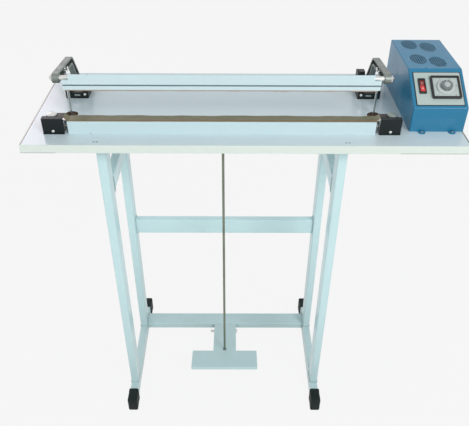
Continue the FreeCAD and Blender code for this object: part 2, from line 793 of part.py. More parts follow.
# Cast arm: a web with a rim round it, open towards the jaw, with a boss at each pin
def arm_shape(side, rim):
    """The arm's side outline as a face at X = 0, shrunk by the width of the rim."""
    front = Vector(0, number("jaw_pin_y"), number("jaw_pin_z"))
    pivot = Vector(0, number("pivot_y"), number("pivot_z"))
    edge = number("front_edge")
    height = size["table_height"]
    shoulder = Vector(0, edge + size["shoulder_setback"], height + size["shoulder_height"] - size["shoulder_bend"])
    crook = Vector(0, edge + size["crook_setback"] - size["crook_bend"],
                   height + size["crook_height"] - size["crook_bend"])
    front_radius = size["jaw_pin_boss"] / 2 - rim
    pivot_radius = size["pivot_boss"] / 2 - rim
    outer_radius = size["shoulder_bend"] - rim
    inner_radius = size["crook_bend"] + rim
    top_a, top_b = tangent(front, front_radius, shoulder, outer_radius, 1)
    back_a, back_b = tangent(shoulder, outer_radius, pivot, pivot_radius, 1)
    low_a, low_b = inner_tangent(front, front_radius, crook, inner_radius, -1)
    leg_a, leg_b = inner_tangent(pivot, pivot_radius, crook, inner_radius, 1)
    edges = [
        Part.LineSegment(top_a, top_b).toShape(),
        arc(shoulder, outer_radius, top_b, back_a, shoulder + Vector(0, 1, 1)),
        Part.LineSegment(back_a, back_b).toShape(),
        arc(pivot, pivot_radius, back_b, leg_a, pivot + Vector(0, -0.4, -1)),
        Part.LineSegment(leg_a, leg_b).toShape(),
        arc(crook, inner_radius, leg_b, low_b, crook + Vector(0, 1, 1)),
        Part.LineSegment(low_b, low_a).toShape(),
        arc(front, front_radius, low_a, top_a, front + Vector(0, -1, 0)),
    ]
    return Part.Face(Part.Wire(edges))


def inner_tangent(centre_a, radius_a, centre_b, radius_b, side):
    """The straight line that leaves circle A on one side and reaches circle B on the other."""
    way = centre_b - centre_a
    turn = math.acos((radius_a + radius_b) / way.Length)
    angle = math.atan2(way.z, way.y) + side * turn
    normal = Vector(0, math.cos(angle), math.sin(angle))
    return centre_a + normal * radius_a, centre_b - normal * radius_b


def swing_arms():
    pins, nuts, pivots, spacers, rod_pins, tail_pins = [], [], [], [], [], []
    front = ("jaw_pin_y", "jaw_pin_z")
    pivot = ("pivot_y", "pivot_z")
    tail = ("tail_y", "tail_z")
    rod = ("rod_y", "rod_pin_z")
    for side, sign in SIDES.items():
        casting = arm_shape(side, 0).extrude(Vector(size["arm_wide"], 0, 0))
        recess = arm_shape(side, size["arm_rim"]).extrude(Vector(size["arm_wide"] - size["arm_web"], 0, 0))
        start = number(span(side, "arm_in", "arm_out")[0])
        recess_start = number(span(side, "arm_in", "web_in")[0])
        casting.translate(Vector(start, 0, 0))
        recess.translate(Vector(recess_start, 0, 0))
        solid = doc.addObject("Part::Feature", f"arm_{side}_casting")
        solid.Shape = casting
        hollow = doc.addObject("Part::Feature", f"arm_{side}_recess")
        hollow.Shape = recess
        x = span(side, "arm_in", "arm_out")
        slot = box(f"arm_{side}_slot", span(side, "arm_in - 1", "web_in"),
                   ("rod_y - rod_slot", "rod_y + rod_slot"),
                   ("rod_pin_z - rod_eye_dia", "rod_pin_z + rod_eye_dia / 2 + seat_gap"))
        shell = cut(f"arm_{side}_shell", solid, hollow, slot)
        boss_front = drum(f"arm_{side}_front_boss", "x", "jaw_pin_boss", x, front)
        boss_pivot = drum(f"arm_{side}_pivot_boss", "x", "pivot_boss", x, pivot)
        boss_tail = drum(f"arm_{side}_tail_boss", "x", "tail_boss", span(side, "web_in - arm_web", "arm_out"), tail)
        tail_bar = box(f"arm_{side}_tail_bar", span(side, "web_in - arm_web", "arm_out"),
                       ("pivot_y", "tail_y"), ("tail_z - tail_boss / 2", "tail_z + tail_boss / 2"))
        boss_rod = drum(f"arm_{side}_rod_boss", "x", "rod_eye_dia", span(side, "web_in", "arm_out"), rod)
        whole = fuse(f"arm_{side}_whole", shell, boss_front, boss_pivot, boss_tail, tail_bar, boss_rod)
        bore_front = drum(f"arm_{side}_front_bore", "x", "jaw_pin_dia + 2 * hole_clear", x, front)
        bore_pivot = drum(f"arm_{side}_pivot_bore", "x", "pivot_dia + 2 * pin_clear", x, pivot)
        bore_tail = drum(f"arm_{side}_tail_bore", "x", "tail_pin_dia + 2 * hole_clear", x, tail)
        bore_rod = drum(f"arm_{side}_rod_bore", "x", "rod_pin_dia + 2 * hole_clear", x, rod)
        sub_part(f"arm_{side}", cut(f"arm_{side}", whole, bore_front, bore_pivot, bore_tail, bore_rod))

        # shouldered jaw pin and its acorn nut
        pin_x = span(side, "jaw_length / 2 - end_cut - end_block_long", "arm_out + acorn_long / 2")
        pin = drum(f"jaw_pin_{side}_shaft", "x", "jaw_pin_dia", pin_x, front)
        shoulder_x = span(side, "jaw_length / 2 - end_cut + seat_gap", "arm_in")
        shoulder = drum(f"jaw_pin_{side}_shoulder", "x", "sleeve_dia", shoulder_x, front)
        pins.append(fuse(f"jaw_pin_{side}", pin, shoulder))
        nut_x = span(side, "arm_out", "arm_out + acorn_long / 2")
        flats = prism(f"acorn_{side}_flats", "x", 6, "acorn_dia", nut_x, front)
        tip_x = span(side, "arm_out + acorn_long / 2", "arm_out + acorn_long")
        wide, narrow = ("acorn_dia * 0.9", "acorn_dia * 0.3")
        if side == "left":
            wide, narrow = narrow, wide
        tip = cone(f"acorn_{side}_tip", "x", wide, narrow, tip_x, front)
        thread = prism(f"acorn_{side}_thread", "x", 8, "(jaw_pin_dia + 2 * hole_clear) / 0.92", nut_x, front)
        nuts.append(cut(f"acorn_{side}", fuse(f"acorn_{side}_blank", flats, tip), thread))

        # pivot pin through the housing, with a spacer on each side of the arm
        shaft = drum(f"pivot_{side}_shaft", "x", "pivot_dia", span(side, "housing_in", "housing_out"), pivot)
        head = drum(f"pivot_{side}_head", "x", "pin_head_dia",
                    span(side, "housing_out", "housing_out + pin_head_tall"), pivot)
        clip = drum(f"pivot_{side}_clip", "x", "pin_head_dia",
                    span(side, "housing_in - pin_head_tall / 2", "housing_in"), pivot)
        pivots.append(fuse(f"pivot_pin_{side}", shaft, head, clip))
        for place, near, far in (("inner", "housing_in + housing_wall", "arm_in - seat_gap"),
                                 ("outer", "arm_out + seat_gap", "housing_out - housing_wall")):
            ring_x = span(side, near, far)
            ring = prism(f"spacer_{side}_{place}_body", "x", 6, "spacer_dia", ring_x, pivot)
            ring_bore = prism(f"spacer_{side}_{place}_bore", "x", 12, "(pivot_dia + 2 * pin_clear) / 0.96",
                              ring_x, pivot)
            spacers.append(cut(f"spacer_{side}_{place}", ring, ring_bore))

        # pin that carries the pull rod's eye, and pin for the return spring
        rod_shaft = drum(f"rod_pin_{side}_shaft", "x", "rod_pin_dia", span(side, "arm_in", "arm_out"), rod)
        rod_head = drum(f"rod_pin_{side}_head", "x", "rod_pin_dia * 1.6",
                        span(side, "arm_in - seat_gap * 4", "arm_in"), rod)
        rod_pins.append(fuse(f"rod_pin_{side}", rod_shaft, rod_head))
        tail_pins.append(drum(f"tail_pin_{side}", "x", "tail_pin_dia",
                              span(side, "arm_in - pin_over", "arm_out"), tail))
    sub_part("jaw_pins", group("jaw_pins", *pins))
    sub_part("acorn_nuts", group("acorn_nuts", *nuts))
    sub_part("rod_pins", group("rod_pins", *rod_pins))
    sub_part("tail_pins", group("tail_pins", *tail_pins))
    sub_part("pivot_pins", group("pivot_pins", *pivots))
    sub_part("pivot_spacers", group("pivot_spacers", *spacers))


# Black pressed housings that carry the arms' pivots
def housings():
    for side in SIDES:
        x = span(side, "housing_in", "housing_out")
        y = ("housing_face", "housing_rear")
        floor = box(f"housing_{side}_floor", x, y, ("table_height", "housing_floor"))
        wall = box(f"housing_{side}_front", x, ("housing_face", "housing_face + housing_wall"),
                   ("table_height", "table_height + housing_front_tall"))
        solids = [floor, wall]
        bores = []
        for place, near, far in (("inner", "housing_in", "housing_in + housing_wall"),
                                 ("outer", "housing_out - housing_wall", "housing_out")):
            cheek_x = span(side, near, far)
            outline = [
                ("housing_face", "table_height"),
                ("housing_rear", "table_height"),
                ("housing_rear", "table_height + housing_back_tall"),
                ("pivot_y + crown_dia / 2", "pivot_z"),
                ("pivot_y - crown_dia / 2", "pivot_z"),
                ("housing_face", "table_height + housing_front_tall"),
            ]
            cheek, _ = profile(f"cheek_{side}_{place}", "x", cheek_x, [outline])
            crown = drum(f"cheek_{side}_{place}_crown", "x", "crown_dia", cheek_x, ("pivot_y", "pivot_z"))
            solids += [cheek, crown]
            bores.append(drum(f"cheek_{side}_{place}_bore", "x", "pivot_dia + 2 * pin_clear", cheek_x,
                              ("pivot_y", "pivot_z")))
        if side == "right":
            tab_x = span(side, "housing_in", "housing_in + housing_wall")
            solids.append(box("switch_tab", tab_x, ("switch_face", "switch_face + switch_long"),
                              ("table_height", "switch_base + switch_arm_tall")))
        own = [place for place in HOUSING_SCREWS if place[0].startswith(out(side, "")[:13])]
        for index, place in enumerate(own):
            bores.append(screw_hole(f"housing_{side}_hole_{index}", "z",
                                    ("table_height - 1", "housing_floor + 1"), place))
        anchor_x = span(side, "arm_in - pin_over", "web_in - arm_web")
        post = box(f"housing_{side}_post", span(side, "arm_in - pin_over - housing_wall", "arm_in - pin_over"),
                   ("tail_y - tail_boss / 2", "tail_y + tail_boss / 2"),
                   ("table_height", "housing_floor + tail_pin_dia * 2"))
        anchor = drum(f"housing_{side}_anchor", "x", "tail_pin_dia", anchor_x,
                      ("tail_y", "housing_floor + tail_pin_dia"))
        solids += [post, anchor]
        sub_part(f"pivot_housing_{side}", cut(f"pivot_housing_{side}",
                                              fuse(f"housing_{side}_whole", *solids), *bores))
    screws = [screw(f"housing_screw_{index}", "z", "housing_floor", -1, place)
              for index, place in enumerate(HOUSING_SCREWS)]
    sub_part("housing_screws", group("housing_screws", *screws))


# Return springs: close-wound coils between the arms' tails and the housing floors
def return_springs():
    for side in SIDES:
        middle_x = number(out(side, "web_in - arm_web - spring_dia / 2 - seat_gap"))
        tail_y = number("tail_y")
        low = number("housing_floor + tail_pin_dia")
        high = number("tail_z")
        coil_low = low + size["spring_hook"]
        coil_tall = high - size["spring_hook"] - coil_low
        outer = size["spring_dia"] / 2
        turns = max(2, round(coil_tall / size["spring_pitch"]))
        rings = []
        for half_turn in range(2 * turns + 1):
            reach = outer if half_turn % 2 else outer - size["spring_wire"] / 2
            height = coil_tall * half_turn / (2 * turns)
            corners = [Vector(reach * math.cos(turn * math.pi / 5), reach * math.sin(turn * math.pi / 5), height)
                       for turn in range(11)]
            rings.append(Part.makePolygon(corners))
        coil = Part.makeLoft(rings, True, True)
        coil.translate(Vector(middle_x, tail_y, coil_low))
        spring = doc.addObject("Part::Feature", f"return_spring_{side}_coil")
        spring.Shape = coil
        hooks = []
        thin = size["spring_wire"] / 2
        reach = size["tail_pin_dia"] * 0.9
        for end, pin_z, past in (("low", low, coil_low), ("high", high, coil_low + coil_tall)):
            stretch = sorted((pin_z - reach if end == "low" else pin_z + reach, past))
            hook = box(f"spring_{side}_{end}_hook", (f"{middle_x} - {thin}", f"{middle_x} + {thin}"),
                       (f"{tail_y} - {reach}", f"{tail_y} + {reach}"), (str(stretch[0]), str(stretch[1])))
            eye = drum(f"spring_{side}_{end}_eye", "x", "tail_pin_dia + 2 * hole_clear",
                       (f"{middle_x} - 1", f"{middle_x} + 1"), (f"{tail_y}", f"{pin_z}"))
            hooks.append(cut(f"spring_{side}_{end}", hook, eye))
        sub_part(f"return_spring_{side}", fuse(f"return_spring_{side}", spring, *hooks))


# Upper jaw: extruded beam with a groove line, end blocks for the pins, rubber strip
def upper_jaw():
    x = (out("left", "jaw_length / 2"), out("right", "jaw_length / 2"))
    groove_top = "upper_base + groove_height + groove_tall"
    outline = [
        ("upper_face", "upper_base"),
        ("upper_back", "upper_base"),
        ("upper_back", "upper_base + upper_back_tall"),
        ("upper_face + ridge_wide", "upper_top"),
        ("upper_face", "upper_top"),
        ("upper_face", groove_top),
        ("upper_face + groove_deep", groove_top),
        ("upper_face + groove_deep", "upper_base + groove_height"),
        ("upper_face", "upper_base + groove_height"),
    ]
    near = "groove_deep + jaw_wall"
    roof = "upper_base + upper_back_tall - jaw_wall * 1.1 + jaw_slope"
    hollow = [
        (f"upper_face + {near}", "upper_base + jaw_wall"),
        ("upper_back - jaw_wall", "upper_base + jaw_wall"),
        ("upper_back - jaw_wall", f"{roof} * jaw_wall"),
        (f"upper_face + {near}", f"{roof} * (jaw_depth - {near.replace('+', '-')})"),
    ]
    blank, _ = profile("upper_jaw_blank", "x", x, [outline, hollow])
    steps = []
    blocks = []
    for side in SIDES:
        steps.append(box(f"jaw_step_{side}", span(side, "jaw_length / 2 - end_cut", "jaw_length / 2 + 1"),
                         ("upper_face - 1", "upper_back + 1"), ("upper_base + end_step", "upper_top + 1")))
        block_x = span(side, "jaw_length / 2 - end_cut - end_block_long", "jaw_length / 2 - end_cut")
        block, _ = profile(f"end_block_{side}_blank", "x", block_x, [hollow])
        bore = drum(f"end_block_{side}_bore", "x", "jaw_pin_dia + 2 * pin_clear", block_x, ("jaw_pin_y", "jaw_pin_z"))
        blocks.append(cut(f"end_block_{side}", block, bore))
    sub_part("upper_jaw_beam", cut("upper_jaw_beam", blank, *steps))
    sub_part("jaw_end_blocks", group("jaw_end_blocks", *blocks))
    rubber_x = (f"{x[0]} + rubber_short", f"{x[1]} - rubber_short")
    rubber_y = ("jaw_pin_y - rubber_wide / 2", "jaw_pin_y + rubber_wide / 2")
    sub_part("pressure_rubber", box("pressure_rubber", rubber_x, rubber_y,
                                    ("upper_base - rubber_thick", "upper_base")))


# Pull frame: two rods hung from the arms, the yoke under the table and the centre rod
def pull_frame():
    rods, nuts = [], []
    eye_side = "rod_eye_wide / 2"
    for side in SIDES:
        middle = (out(side, "rod_spread"), "rod_y")
        eye_x = span(side, f"rod_spread - {eye_side}", f"rod_spread + {eye_side}")
        eye = drum(f"rod_{side}_eye", "x", "rod_eye_dia", eye_x, ("rod_y", "rod_pin_z"))
        stem = drum(f"rod_{side}_stem", "z", "pull_rod_dia",
                    ("yoke_under - nut_tall * 1.5", "rod_pin_z - rod_eye_dia / 2 + 1"), middle)
        bore = drum(f"rod_{side}_bore", "x", "rod_pin_dia + 2 * pin_clear", eye_x, ("rod_y", "rod_pin_z"))
        rods.append(cut(f"pull_rod_{side}", fuse(f"pull_rod_{side}_whole", eye, stem), bore))
        for place, low in (("over", "yoke_top"), ("under", "yoke_under - nut_tall")):
            ends = (low, f"{low} + nut_tall")
            nuts.append(nut(f"yoke_nut_{side}_{place}", ends, middle, "pull_rod_dia"))
    yoke_x = (out("left", "rod_spread + yoke_over"), out("right", "rod_spread + yoke_over"))
    half = "yoke_side / 2"
    outer = rectangle((f"rod_y - {half}", f"rod_y + {half}"), ("yoke_under", "yoke_top"))
    inner = rectangle((f"rod_y - {half} + yoke_wall", f"rod_y + {half} - yoke_wall"),
                      ("yoke_under + yoke_wall", "yoke_top - yoke_wall"))
    blank, _ = profile("yoke_blank", "x", yoke_x, [outer, inner])
    bores = []
    for place, middle in (("left", out("left", "rod_spread")), ("right", out("right", "rod_spread")),
                          ("middle", "stand_shift")):
        bores.append(drum(f"yoke_bore_{place}", "z", "rod_dia + 2 * hole_clear",
                          ("yoke_under - 1", "yoke_top + 1"), (middle, "rod_y")))
    sub_part("pull_rods", group("pull_rods", *rods))
    sub_part("yoke_bar", cut("yoke_bar", blank, *bores))

    foot = number("treadle_y") * 0 + treadle_point(size["treadle_stem_rise"] - size["treadle_sheet"])
    centre = doc.addObject("Part::Cylinder", "centre_rod_stem")
    centre.setExpression("Radius", formula("rod_dia / 2"))
    low = foot - size["end_nut_tall"] - 4 - size["seat_gap"]
    centre.Placement = Placement(Vector(0, 0, low), Rotation())
    centre.setExpression("Height", formula(f"yoke_top + nut_tall * 1.5 - {low}"))
    centre.setExpression("Placement.Base.x", formula("stand_shift"))
    centre.setExpression("Placement.Base.y", formula("rod_y"))
    sub_part("centre_rod", centre)
    for place, start in (("over", "yoke_top"), ("under", "yoke_under - nut_tall")):
        ends = (start, f"{start} + nut_tall")
        nuts.append(nut(f"yoke_nut_middle_{place}", ends, ("stand_shift", "rod_y"), "rod_dia"))
    sub_part("yoke_nuts", group("yoke_nuts", *nuts))
    top = foot - 2 - size["seat_gap"]
    end_body = prism("rod_end_body", "z", 6, "end_nut_dia", (f"{top} - end_nut_tall", f"{top}"),
                     ("stand_shift", "rod_y"))
    end_bore = drum("rod_end_bore", "z", "rod_dia + 2 * hole_clear", (f"{top} - end_nut_tall", f"{top}"),
                    ("stand_shift", "rod_y"))
    sub_part("rod_end_nut", cut("rod_end_nut", end_body, end_bore))


def nut(name, ends, middle, bore):
    """A hexagon nut about an upright rod."""
    blank = prism(name + "_blank", "z", 6, "nut_wide / 0.866", ends, middle)
    hole = prism(name + "_hole", "z", 8, f"({bore} + 2 * hole_clear) / 0.92", ends, middle)
    return cut(name, blank, hole)


def treadle_reach():
    """Distance from the treadle's pivot to the rod hole along the stem."""
    rise = math.radians(size["treadle_rise"])
    back = number("treadle_y - rod_y")
    return (back + size["treadle_stem_rise"] * math.sin(rise)) / math.cos(rise)


def treadle_point(above):
    """Height of the point of the stem at the rod hole that lies a distance above the pivot."""
    rise = math.radians(size["treadle_rise"])
    reach = treadle_reach()
    return size["treadle_pivot_height"] + reach * math.sin(rise) + above * math.cos(rise)


# Treadle: a folded stem and a wide pedal plate, hinged on two lugs of the lower crossbar
def treadle():
    reach = treadle_reach()
    half_stem = "treadle_stem / 2"
    half_pedal = "pedal_wide / 2"
    start = f"-({reach} + pedal_gap + treadle_hole / 2)"
    end = f"{start} - pedal_deep"
    outline = [
        (f"-{half_stem}", "treadle_ear"),
        (f"-{half_stem}", start),
        (f"-{half_pedal}", start),
        (f"-{half_pedal}", end),
        (half_pedal, end),
        (half_pedal, start),
        (half_stem, start),
        (half_stem, "treadle_ear"),
    ]
    body, sketch = new_body("treadle", "z")
    draw_outline(sketch, outline)
    draw_circle(sketch, "treadle_hole", "0", f"-{reach}")
    sketch.setExpression("AttachmentOffset.Base.z", formula("treadle_stem_rise - treadle_sheet"))
    plate = body.newObject("PartDesign::Pad", "treadle_plate")
    plate.Profile = sketch
    plate.setExpression("Length", formula("treadle_sheet"))
    side_plane = next(item for item in body.Origin.OriginFeatures if item.Role == "YZ_Plane")
    under = "treadle_stem_rise - treadle_sheet"
    for side, sign in SIDES.items():
        cheek = body.newObject("Sketcher::SketchObject", f"treadle_cheek_{side}_sketch")
        cheek.AttachmentSupport = [(side_plane, "")]
        cheek.MapMode = "FlatFace"
        low = "-treadle_stem / 2" if side == "left" else "treadle_stem / 2 - treadle_sheet"
        cheek.setExpression("AttachmentOffset.Base.z", formula(low))
        draw_outline(cheek, [
            ("treadle_ear", under),
            ("treadle_ear", "-treadle_ear / 2"),
            ("treadle_ear / 2", "-treadle_ear"),
            ("-treadle_ear / 2", "-treadle_ear"),
            ("-treadle_ear * 1.6", f"{under} - treadle_cheek"),
            (start, f"{under} - treadle_cheek / 2"),
            (start, under),
        ])
        draw_circle(cheek, "treadle_pin_dia + 2 * pin_clear", "0", "0")
        pad = body.newObject("PartDesign::Pad", f"treadle_cheek_{side}")
        pad.Profile = cheek
        pad.setExpression("Length", formula("treadle_sheet"))
    lip = body.newObject("Sketcher::SketchObject", "treadle_lip_sketch")
    lip.AttachmentSupport = [(side_plane, "")]
    lip.MapMode = "FlatFace"
    lip.setExpression("AttachmentOffset.Base.z", formula("-pedal_wide / 2"))
    draw_outline(lip, rectangle((end, f"{end} + treadle_sheet"), ("treadle_stem_rise - pedal_lip", under)))
    lip_pad = body.newObject("PartDesign::Pad", "treadle_lip")
    lip_pad.Profile = lip
    lip_pad.setExpression("Length", formula("pedal_wide"))
    body.Placement = Placement(Vector(), Rotation(Vector(1, 0, 0), -size["treadle_rise"]))
    body.setExpression("Placement.Base.x", formula("stand_shift"))
    body.setExpression("Placement.Base.y", formula("treadle_y"))
    body.setExpression("Placement.Base.z", formula("treadle_pivot_height"))
    sub_part("treadle", body)

    lugs = []
    inner = "treadle_stem / 2 - treadle_sheet - bracket_gap - bracket_thick"
    outer = "treadle_stem / 2 - treadle_sheet - bracket_gap"
    pin = ("treadle_y", "treadle_pivot_height")
    for side in SIDES:
        x = span(side, inner, outer)
        arm = box(f"hinge_lug_{side}_arm", x, ("treadle_y", "lower_bar_face"),
                  ("treadle_pivot_height - bracket_radius", "treadle_pivot_height + bracket_radius"))
        eye = drum(f"hinge_lug_{side}_eye", "x", "bracket_radius * 2", x, pin)
        bore = drum(f"hinge_lug_{side}_bore", "x", "treadle_pin_dia + 2 * pin_clear", x, pin)
        lugs.append(cut(f"hinge_lug_{side}", fuse(f"hinge_lug_{side}_whole", arm, eye), bore))
    sub_part("treadle_lugs", group("treadle_lugs", *lugs))
    shaft = drum("treadle_pin_shaft", "x", "treadle_pin_dia",
                 (out("left", "treadle_stem / 2 + treadle_pin_over"), out("right", "treadle_stem / 2 + seat_gap")), pin)
    head = drum("treadle_pin_head", "x", "treadle_pin_dia * 1.5",
                (out("right", "treadle_stem / 2 + seat_gap"), out("right", "treadle_stem / 2 + 4")), pin)
    sub_part("treadle_pin", fuse("treadle_pin", shaft, head))


# End switch on the right housing, worked by the arm's tail
def end_switch():
    x = span("right", "housing_in + housing_wall", "housing_in + housing_wall + switch_thick")
    body = box("switch_case", x, ("switch_face", "switch_face + switch_nose"),
               ("switch_base", "switch_base + switch_tall"))
    rear_arm = box("switch_arm", x, ("switch_face", "switch_face + switch_long"),
                   ("switch_base", "switch_base + switch_arm_tall"))
    ear = box("switch_ear", x, ("lever_y - lever_pivot_dia", "switch_face + switch_long"),
              ("lever_z - lever_pivot_dia", "switch_base"))
    notch = box("switch_notch", span("right", "housing_in + housing_wall + 2", "housing_in + switch_thick + 1"),
                ("lever_y - 3", "switch_face + switch_long + 1"), ("lever_z - 3", "switch_base - 0.5"))
    case = cut("end_switch_case", fuse("switch_whole", body, rear_arm, ear), notch)
    axle = drum("switch_axle", "x", "lever_pivot_dia", x, ("lever_y", "lever_z"))
    sub_part("end_switch", fuse("end_switch", case, axle))

    lever_mid = "housing_in + housing_wall + switch_thick / 2"
    hub_x = span("right", f"{lever_mid} - lever_wide / 2", f"{lever_mid} + lever_wide / 2")
    blade_z = ("lever_z - lever_thick / 2", "lever_z + lever_thick / 2")
    blade = box("lever_blade", hub_x, ("pivot_y + lever_start", "lever_y"), blade_z)
    paddle_x = span("right", f"{lever_mid} - lever_wide / 2", "arm_in - seat_gap * 2")
    paddle = box("lever_paddle", paddle_x, ("pivot_y + lever_start", "lever_y - lever_pivot_dia * 3.5"), blade_z)
    hub = drum("lever_hub", "x", "lever_pivot_dia * 2", hub_x, ("lever_y", "lever_z"))
    bore = drum("lever_bore", "x", "lever_pivot_dia + 2 * pin_clear", hub_x, ("lever_y", "lever_z"))
    sub_part("switch_lever", cut("switch_lever", fuse("lever_whole", blade, paddle, hub), bore))


def on_panel(across, along, above):
    """Placement on the sloping panel: across and up it from its lower left corner."""
    slope = math.atan2(size["box_tall"] - size["box_front_tall"], size["box_slope_deep"])
    corner = Vector(number("box_left"), number("box_face"), size["table_height"] + size["box_front_tall"])
    frame = Placement(corner, Rotation(Vector(1, 0, 0), math.degrees(slope)))
    return frame.multiply(Placement(Vector(across, along, above), Rotation()))


def panel_box(name, corner, lengths):
    """A block set square on the sloping panel."""
    block = doc.addObject("Part::Box", name)
    for length, text in zip(("Length", "Width", "Height"), lengths):
        block.setExpression(length, formula(text))
    block.Placement = on_panel(*corner)
    return block


def panel_drum(name, diameter, height, middle):
    """A cylinder standing square on the sloping panel."""
    rod = doc.addObject("Part::Cylinder", name)
    rod.setExpression("Radius", formula(f"({diameter}) / 2"))
    rod.setExpression("Height", formula(height))
    rod.Placement = on_panel(*middle)
    return rod


# Control box: folded cover with slotted vents, chassis plate and what is inside
def control_box():
    outline = [
        ("box_face", "table_height"),
        ("box_rear", "table_height"),
        ("box_rear", "box_top"),
        ("box_face + box_slope_deep", "box_top"),
        ("box_face", "table_height + box_front_tall"),
    ]
    body, pad = profile("box_shell", "x", ("box_left", "box_right"), [outline])
    low = size["table_height"]
    round_edges(body, pad, "box_corner", lambda middle, run: middle.z > low + 0.5)
    slope = "((box_tall - box_front_tall) / box_slope_deep)"
    lean = f"sqrt(1 + {slope} * {slope})"
    hollow, _ = profile("box_hollow", "x", ("box_left + box_sheet", "box_right - box_sheet"), [[
        ("box_face + box_sheet", "table_height - 1"),
        ("box_rear - box_sheet", "table_height - 1"),
        ("box_rear - box_sheet", "box_top - box_sheet"),
        (f"box_face + (box_tall - box_sheet - box_front_tall + box_sheet * {lean}) / {slope}",
         "box_top - box_sheet"),
        ("box_face + box_sheet",
         f"table_height + box_front_tall + box_sheet * {slope} - box_sheet * {lean}"),
    ]])
    doc.recompute()

    slots = []
    columns = int((size["vent_wide"] / 2 - 1) // size["vent_pitch"])
    for row in (0, 1):
        for column, sign, stagger in (("left", "-", "0"), ("right", "+", "vent_stagger")):
            x = f"box_middle + vent_shift {sign} vent_across / 2"
            y = f"box_face + box_slope_deep + vent_setback - {stagger} + {row} * box_deep / 3"
            for step in range(-columns, columns + 1):
                share = math.sqrt(1 - (2 * step * size["vent_pitch"] / size["vent_wide"]) ** 2)
                middle = f"{x} + {step} * vent_pitch"
                half = f"{share} * vent_deep / 2"
                slots.append(box(f"vent_{row}_{column}_{step + columns}",
                                 (f"{middle} - vent_slot / 2", f"{middle} + vent_slot / 2"),
                                 (f"{y} - {half}", f"{y} + {half}"),
                                 ("box_top - box_sheet - 1", "box_top + 1")))
    panel_across = (size["box_wide"] - size["panel_wide"]) / 2
    timer_across = panel_across + size["timer_left"] + (size["timer_face"] - size["timer_body"]) / 2
    timer_along = size["panel_start"] + size["timer_up"] + (size["timer_face"] - size["timer_body"]) / 2
    rocker_across = panel_across + size["rocker_left"] + 1
    rocker_along = size["panel_start"] + size["rocker_up"] + 1
    depth = size["box_sheet"] * 3
    windows = [
        panel_box("timer_window", (timer_across - 0.1, timer_along - 0.1, -depth),
                  ("timer_body + 0.2", "timer_body + 0.2", "box_sheet * 6")),
        panel_box("rocker_window", (rocker_across - 0.1, rocker_along - 0.1, -depth),
                  ("rocker_wide - 1.8", "rocker_long - 1.8", "box_sheet * 6")),
    ]
    gland_hole = drum("gland_hole", "y", "gland_bore + 4 + 2 * hole_clear", ("box_rear - box_sheet - 1", "box_rear + 1"),
                      ("box_middle - lug_spacing / 3", "table_height + gland_height"))
    sub_part("box_cover", cut("box_cover", body, hollow, gland_hole, *slots, *windows))

    plate = panel_box("panel_blank", (panel_across, size["panel_start"], 0),
                      ("panel_wide", "panel_long", "panel_thick"))
    sub_part("control_panel", cut("control_panel", plate, windows[0], windows[1]))

    # timer: a frame on the panel, the body behind it, and the knob on its shaft
    face_at = (panel_across + size["timer_left"], size["panel_start"] + size["timer_up"], size["panel_thick"])
    frame = panel_box("timer_frame_blank", face_at, ("timer_face", "timer_face", "timer_frame_tall"))
    inset = panel_box("timer_frame_inset", (face_at[0] + 4, face_at[1] + 4, face_at[2] + 2.5),
                      ("timer_face - 8", "timer_face - 8", "timer_frame_tall"))
    case_floor = size["panel_thick"] - size["timer_body_deep"]
    case = panel_box("timer_case", (timer_across, timer_along, case_floor),
                     ("timer_body", "timer_body", "timer_body_deep"))
    knob_at = (face_at[0] + size["timer_face"] / 2, face_at[1] + size["timer_face"] / 2)
    shaft_hole = panel_drum("knob_shaft_hole", "knob_shaft_dia + 2 * pin_clear", "12",
                            (*knob_at, size["panel_thick"] + 2.5 - 11))
    timer = fuse("timer_whole", cut("timer_frame", frame, inset), case)
    sub_part("timer_unit", cut("timer_unit", timer, shaft_hole))

    knob_floor = size["panel_thick"] + 2.5 + size["seat_gap"]
    ring = panel_drum("knob_ring", "knob_ring_dia", "knob_ring_tall", (*knob_at, knob_floor))
    grip = panel_drum("knob_grip", "knob_dia", "knob_tall", (*knob_at, knob_floor))
    shaft = panel_drum("knob_shaft", "knob_shaft_dia", "9", (*knob_at, knob_floor - 8))
    knob = fuse("knob_whole", ring, grip, shaft)
    flutes = []
    for index in range(8):
        turn = 2 * math.pi * index / 8
        reach = size["knob_dia"] / 2 + 1.2
        place = (knob_at[0] + reach * math.cos(turn), knob_at[1] + reach * math.sin(turn),
                 knob_floor + size["knob_ring_tall"])
        flutes.append(panel_drum(f"knob_flute_{index}", "5", "knob_tall", place))
    pointer = panel_box("knob_pointer", (knob_at[0] - 0.8, knob_at[1], knob_floor + size["knob_tall"] - 1),
                        ("1.6", "knob_dia", "2"))
    sub_part("timer_knob", cut("timer_knob", knob, pointer, *flutes))

    # mains rocker: a bezel with its body behind the panel and the button rocking in it
    bezel_at = (rocker_across - 1, rocker_along - 1, size["panel_thick"])
    bezel = panel_box("rocker_bezel_blank", bezel_at, ("rocker_wide", "rocker_long", "rocker_bezel_tall"))
    rear_case = panel_box("rocker_case", (rocker_across, rocker_along, -size["rocker_body_deep"]),
                          ("rocker_wide - 2", "rocker_long - 2", "rocker_body_deep + panel_thick"))
    well = panel_box("rocker_well", (bezel_at[0] + 2, bezel_at[1] + 3, -8),
                     ("rocker_wide - 4", "rocker_long - 6", "20"))
    rocker_case = cut("rocker_socket", fuse("rocker_outer", bezel, rear_case), well)
    axle_at = on_panel(bezel_at[0] + 1, bezel_at[1] + size["rocker_long"] / 2, size["panel_thick"] - 1)
    axle = doc.addObject("Part::Cylinder", "rocker_axle")
    axle.setExpression("Radius", formula("rocker_pin_dia / 2"))
    axle.setExpression("Height", formula("rocker_wide - 2"))
    axle.Placement = axle_at.multiply(Placement(Vector(), TURNS["x"]))
    sub_part("rocker_switch", fuse("rocker_switch", rocker_case, axle))
    sub_part("rocker_button", rocker_button(bezel_at))

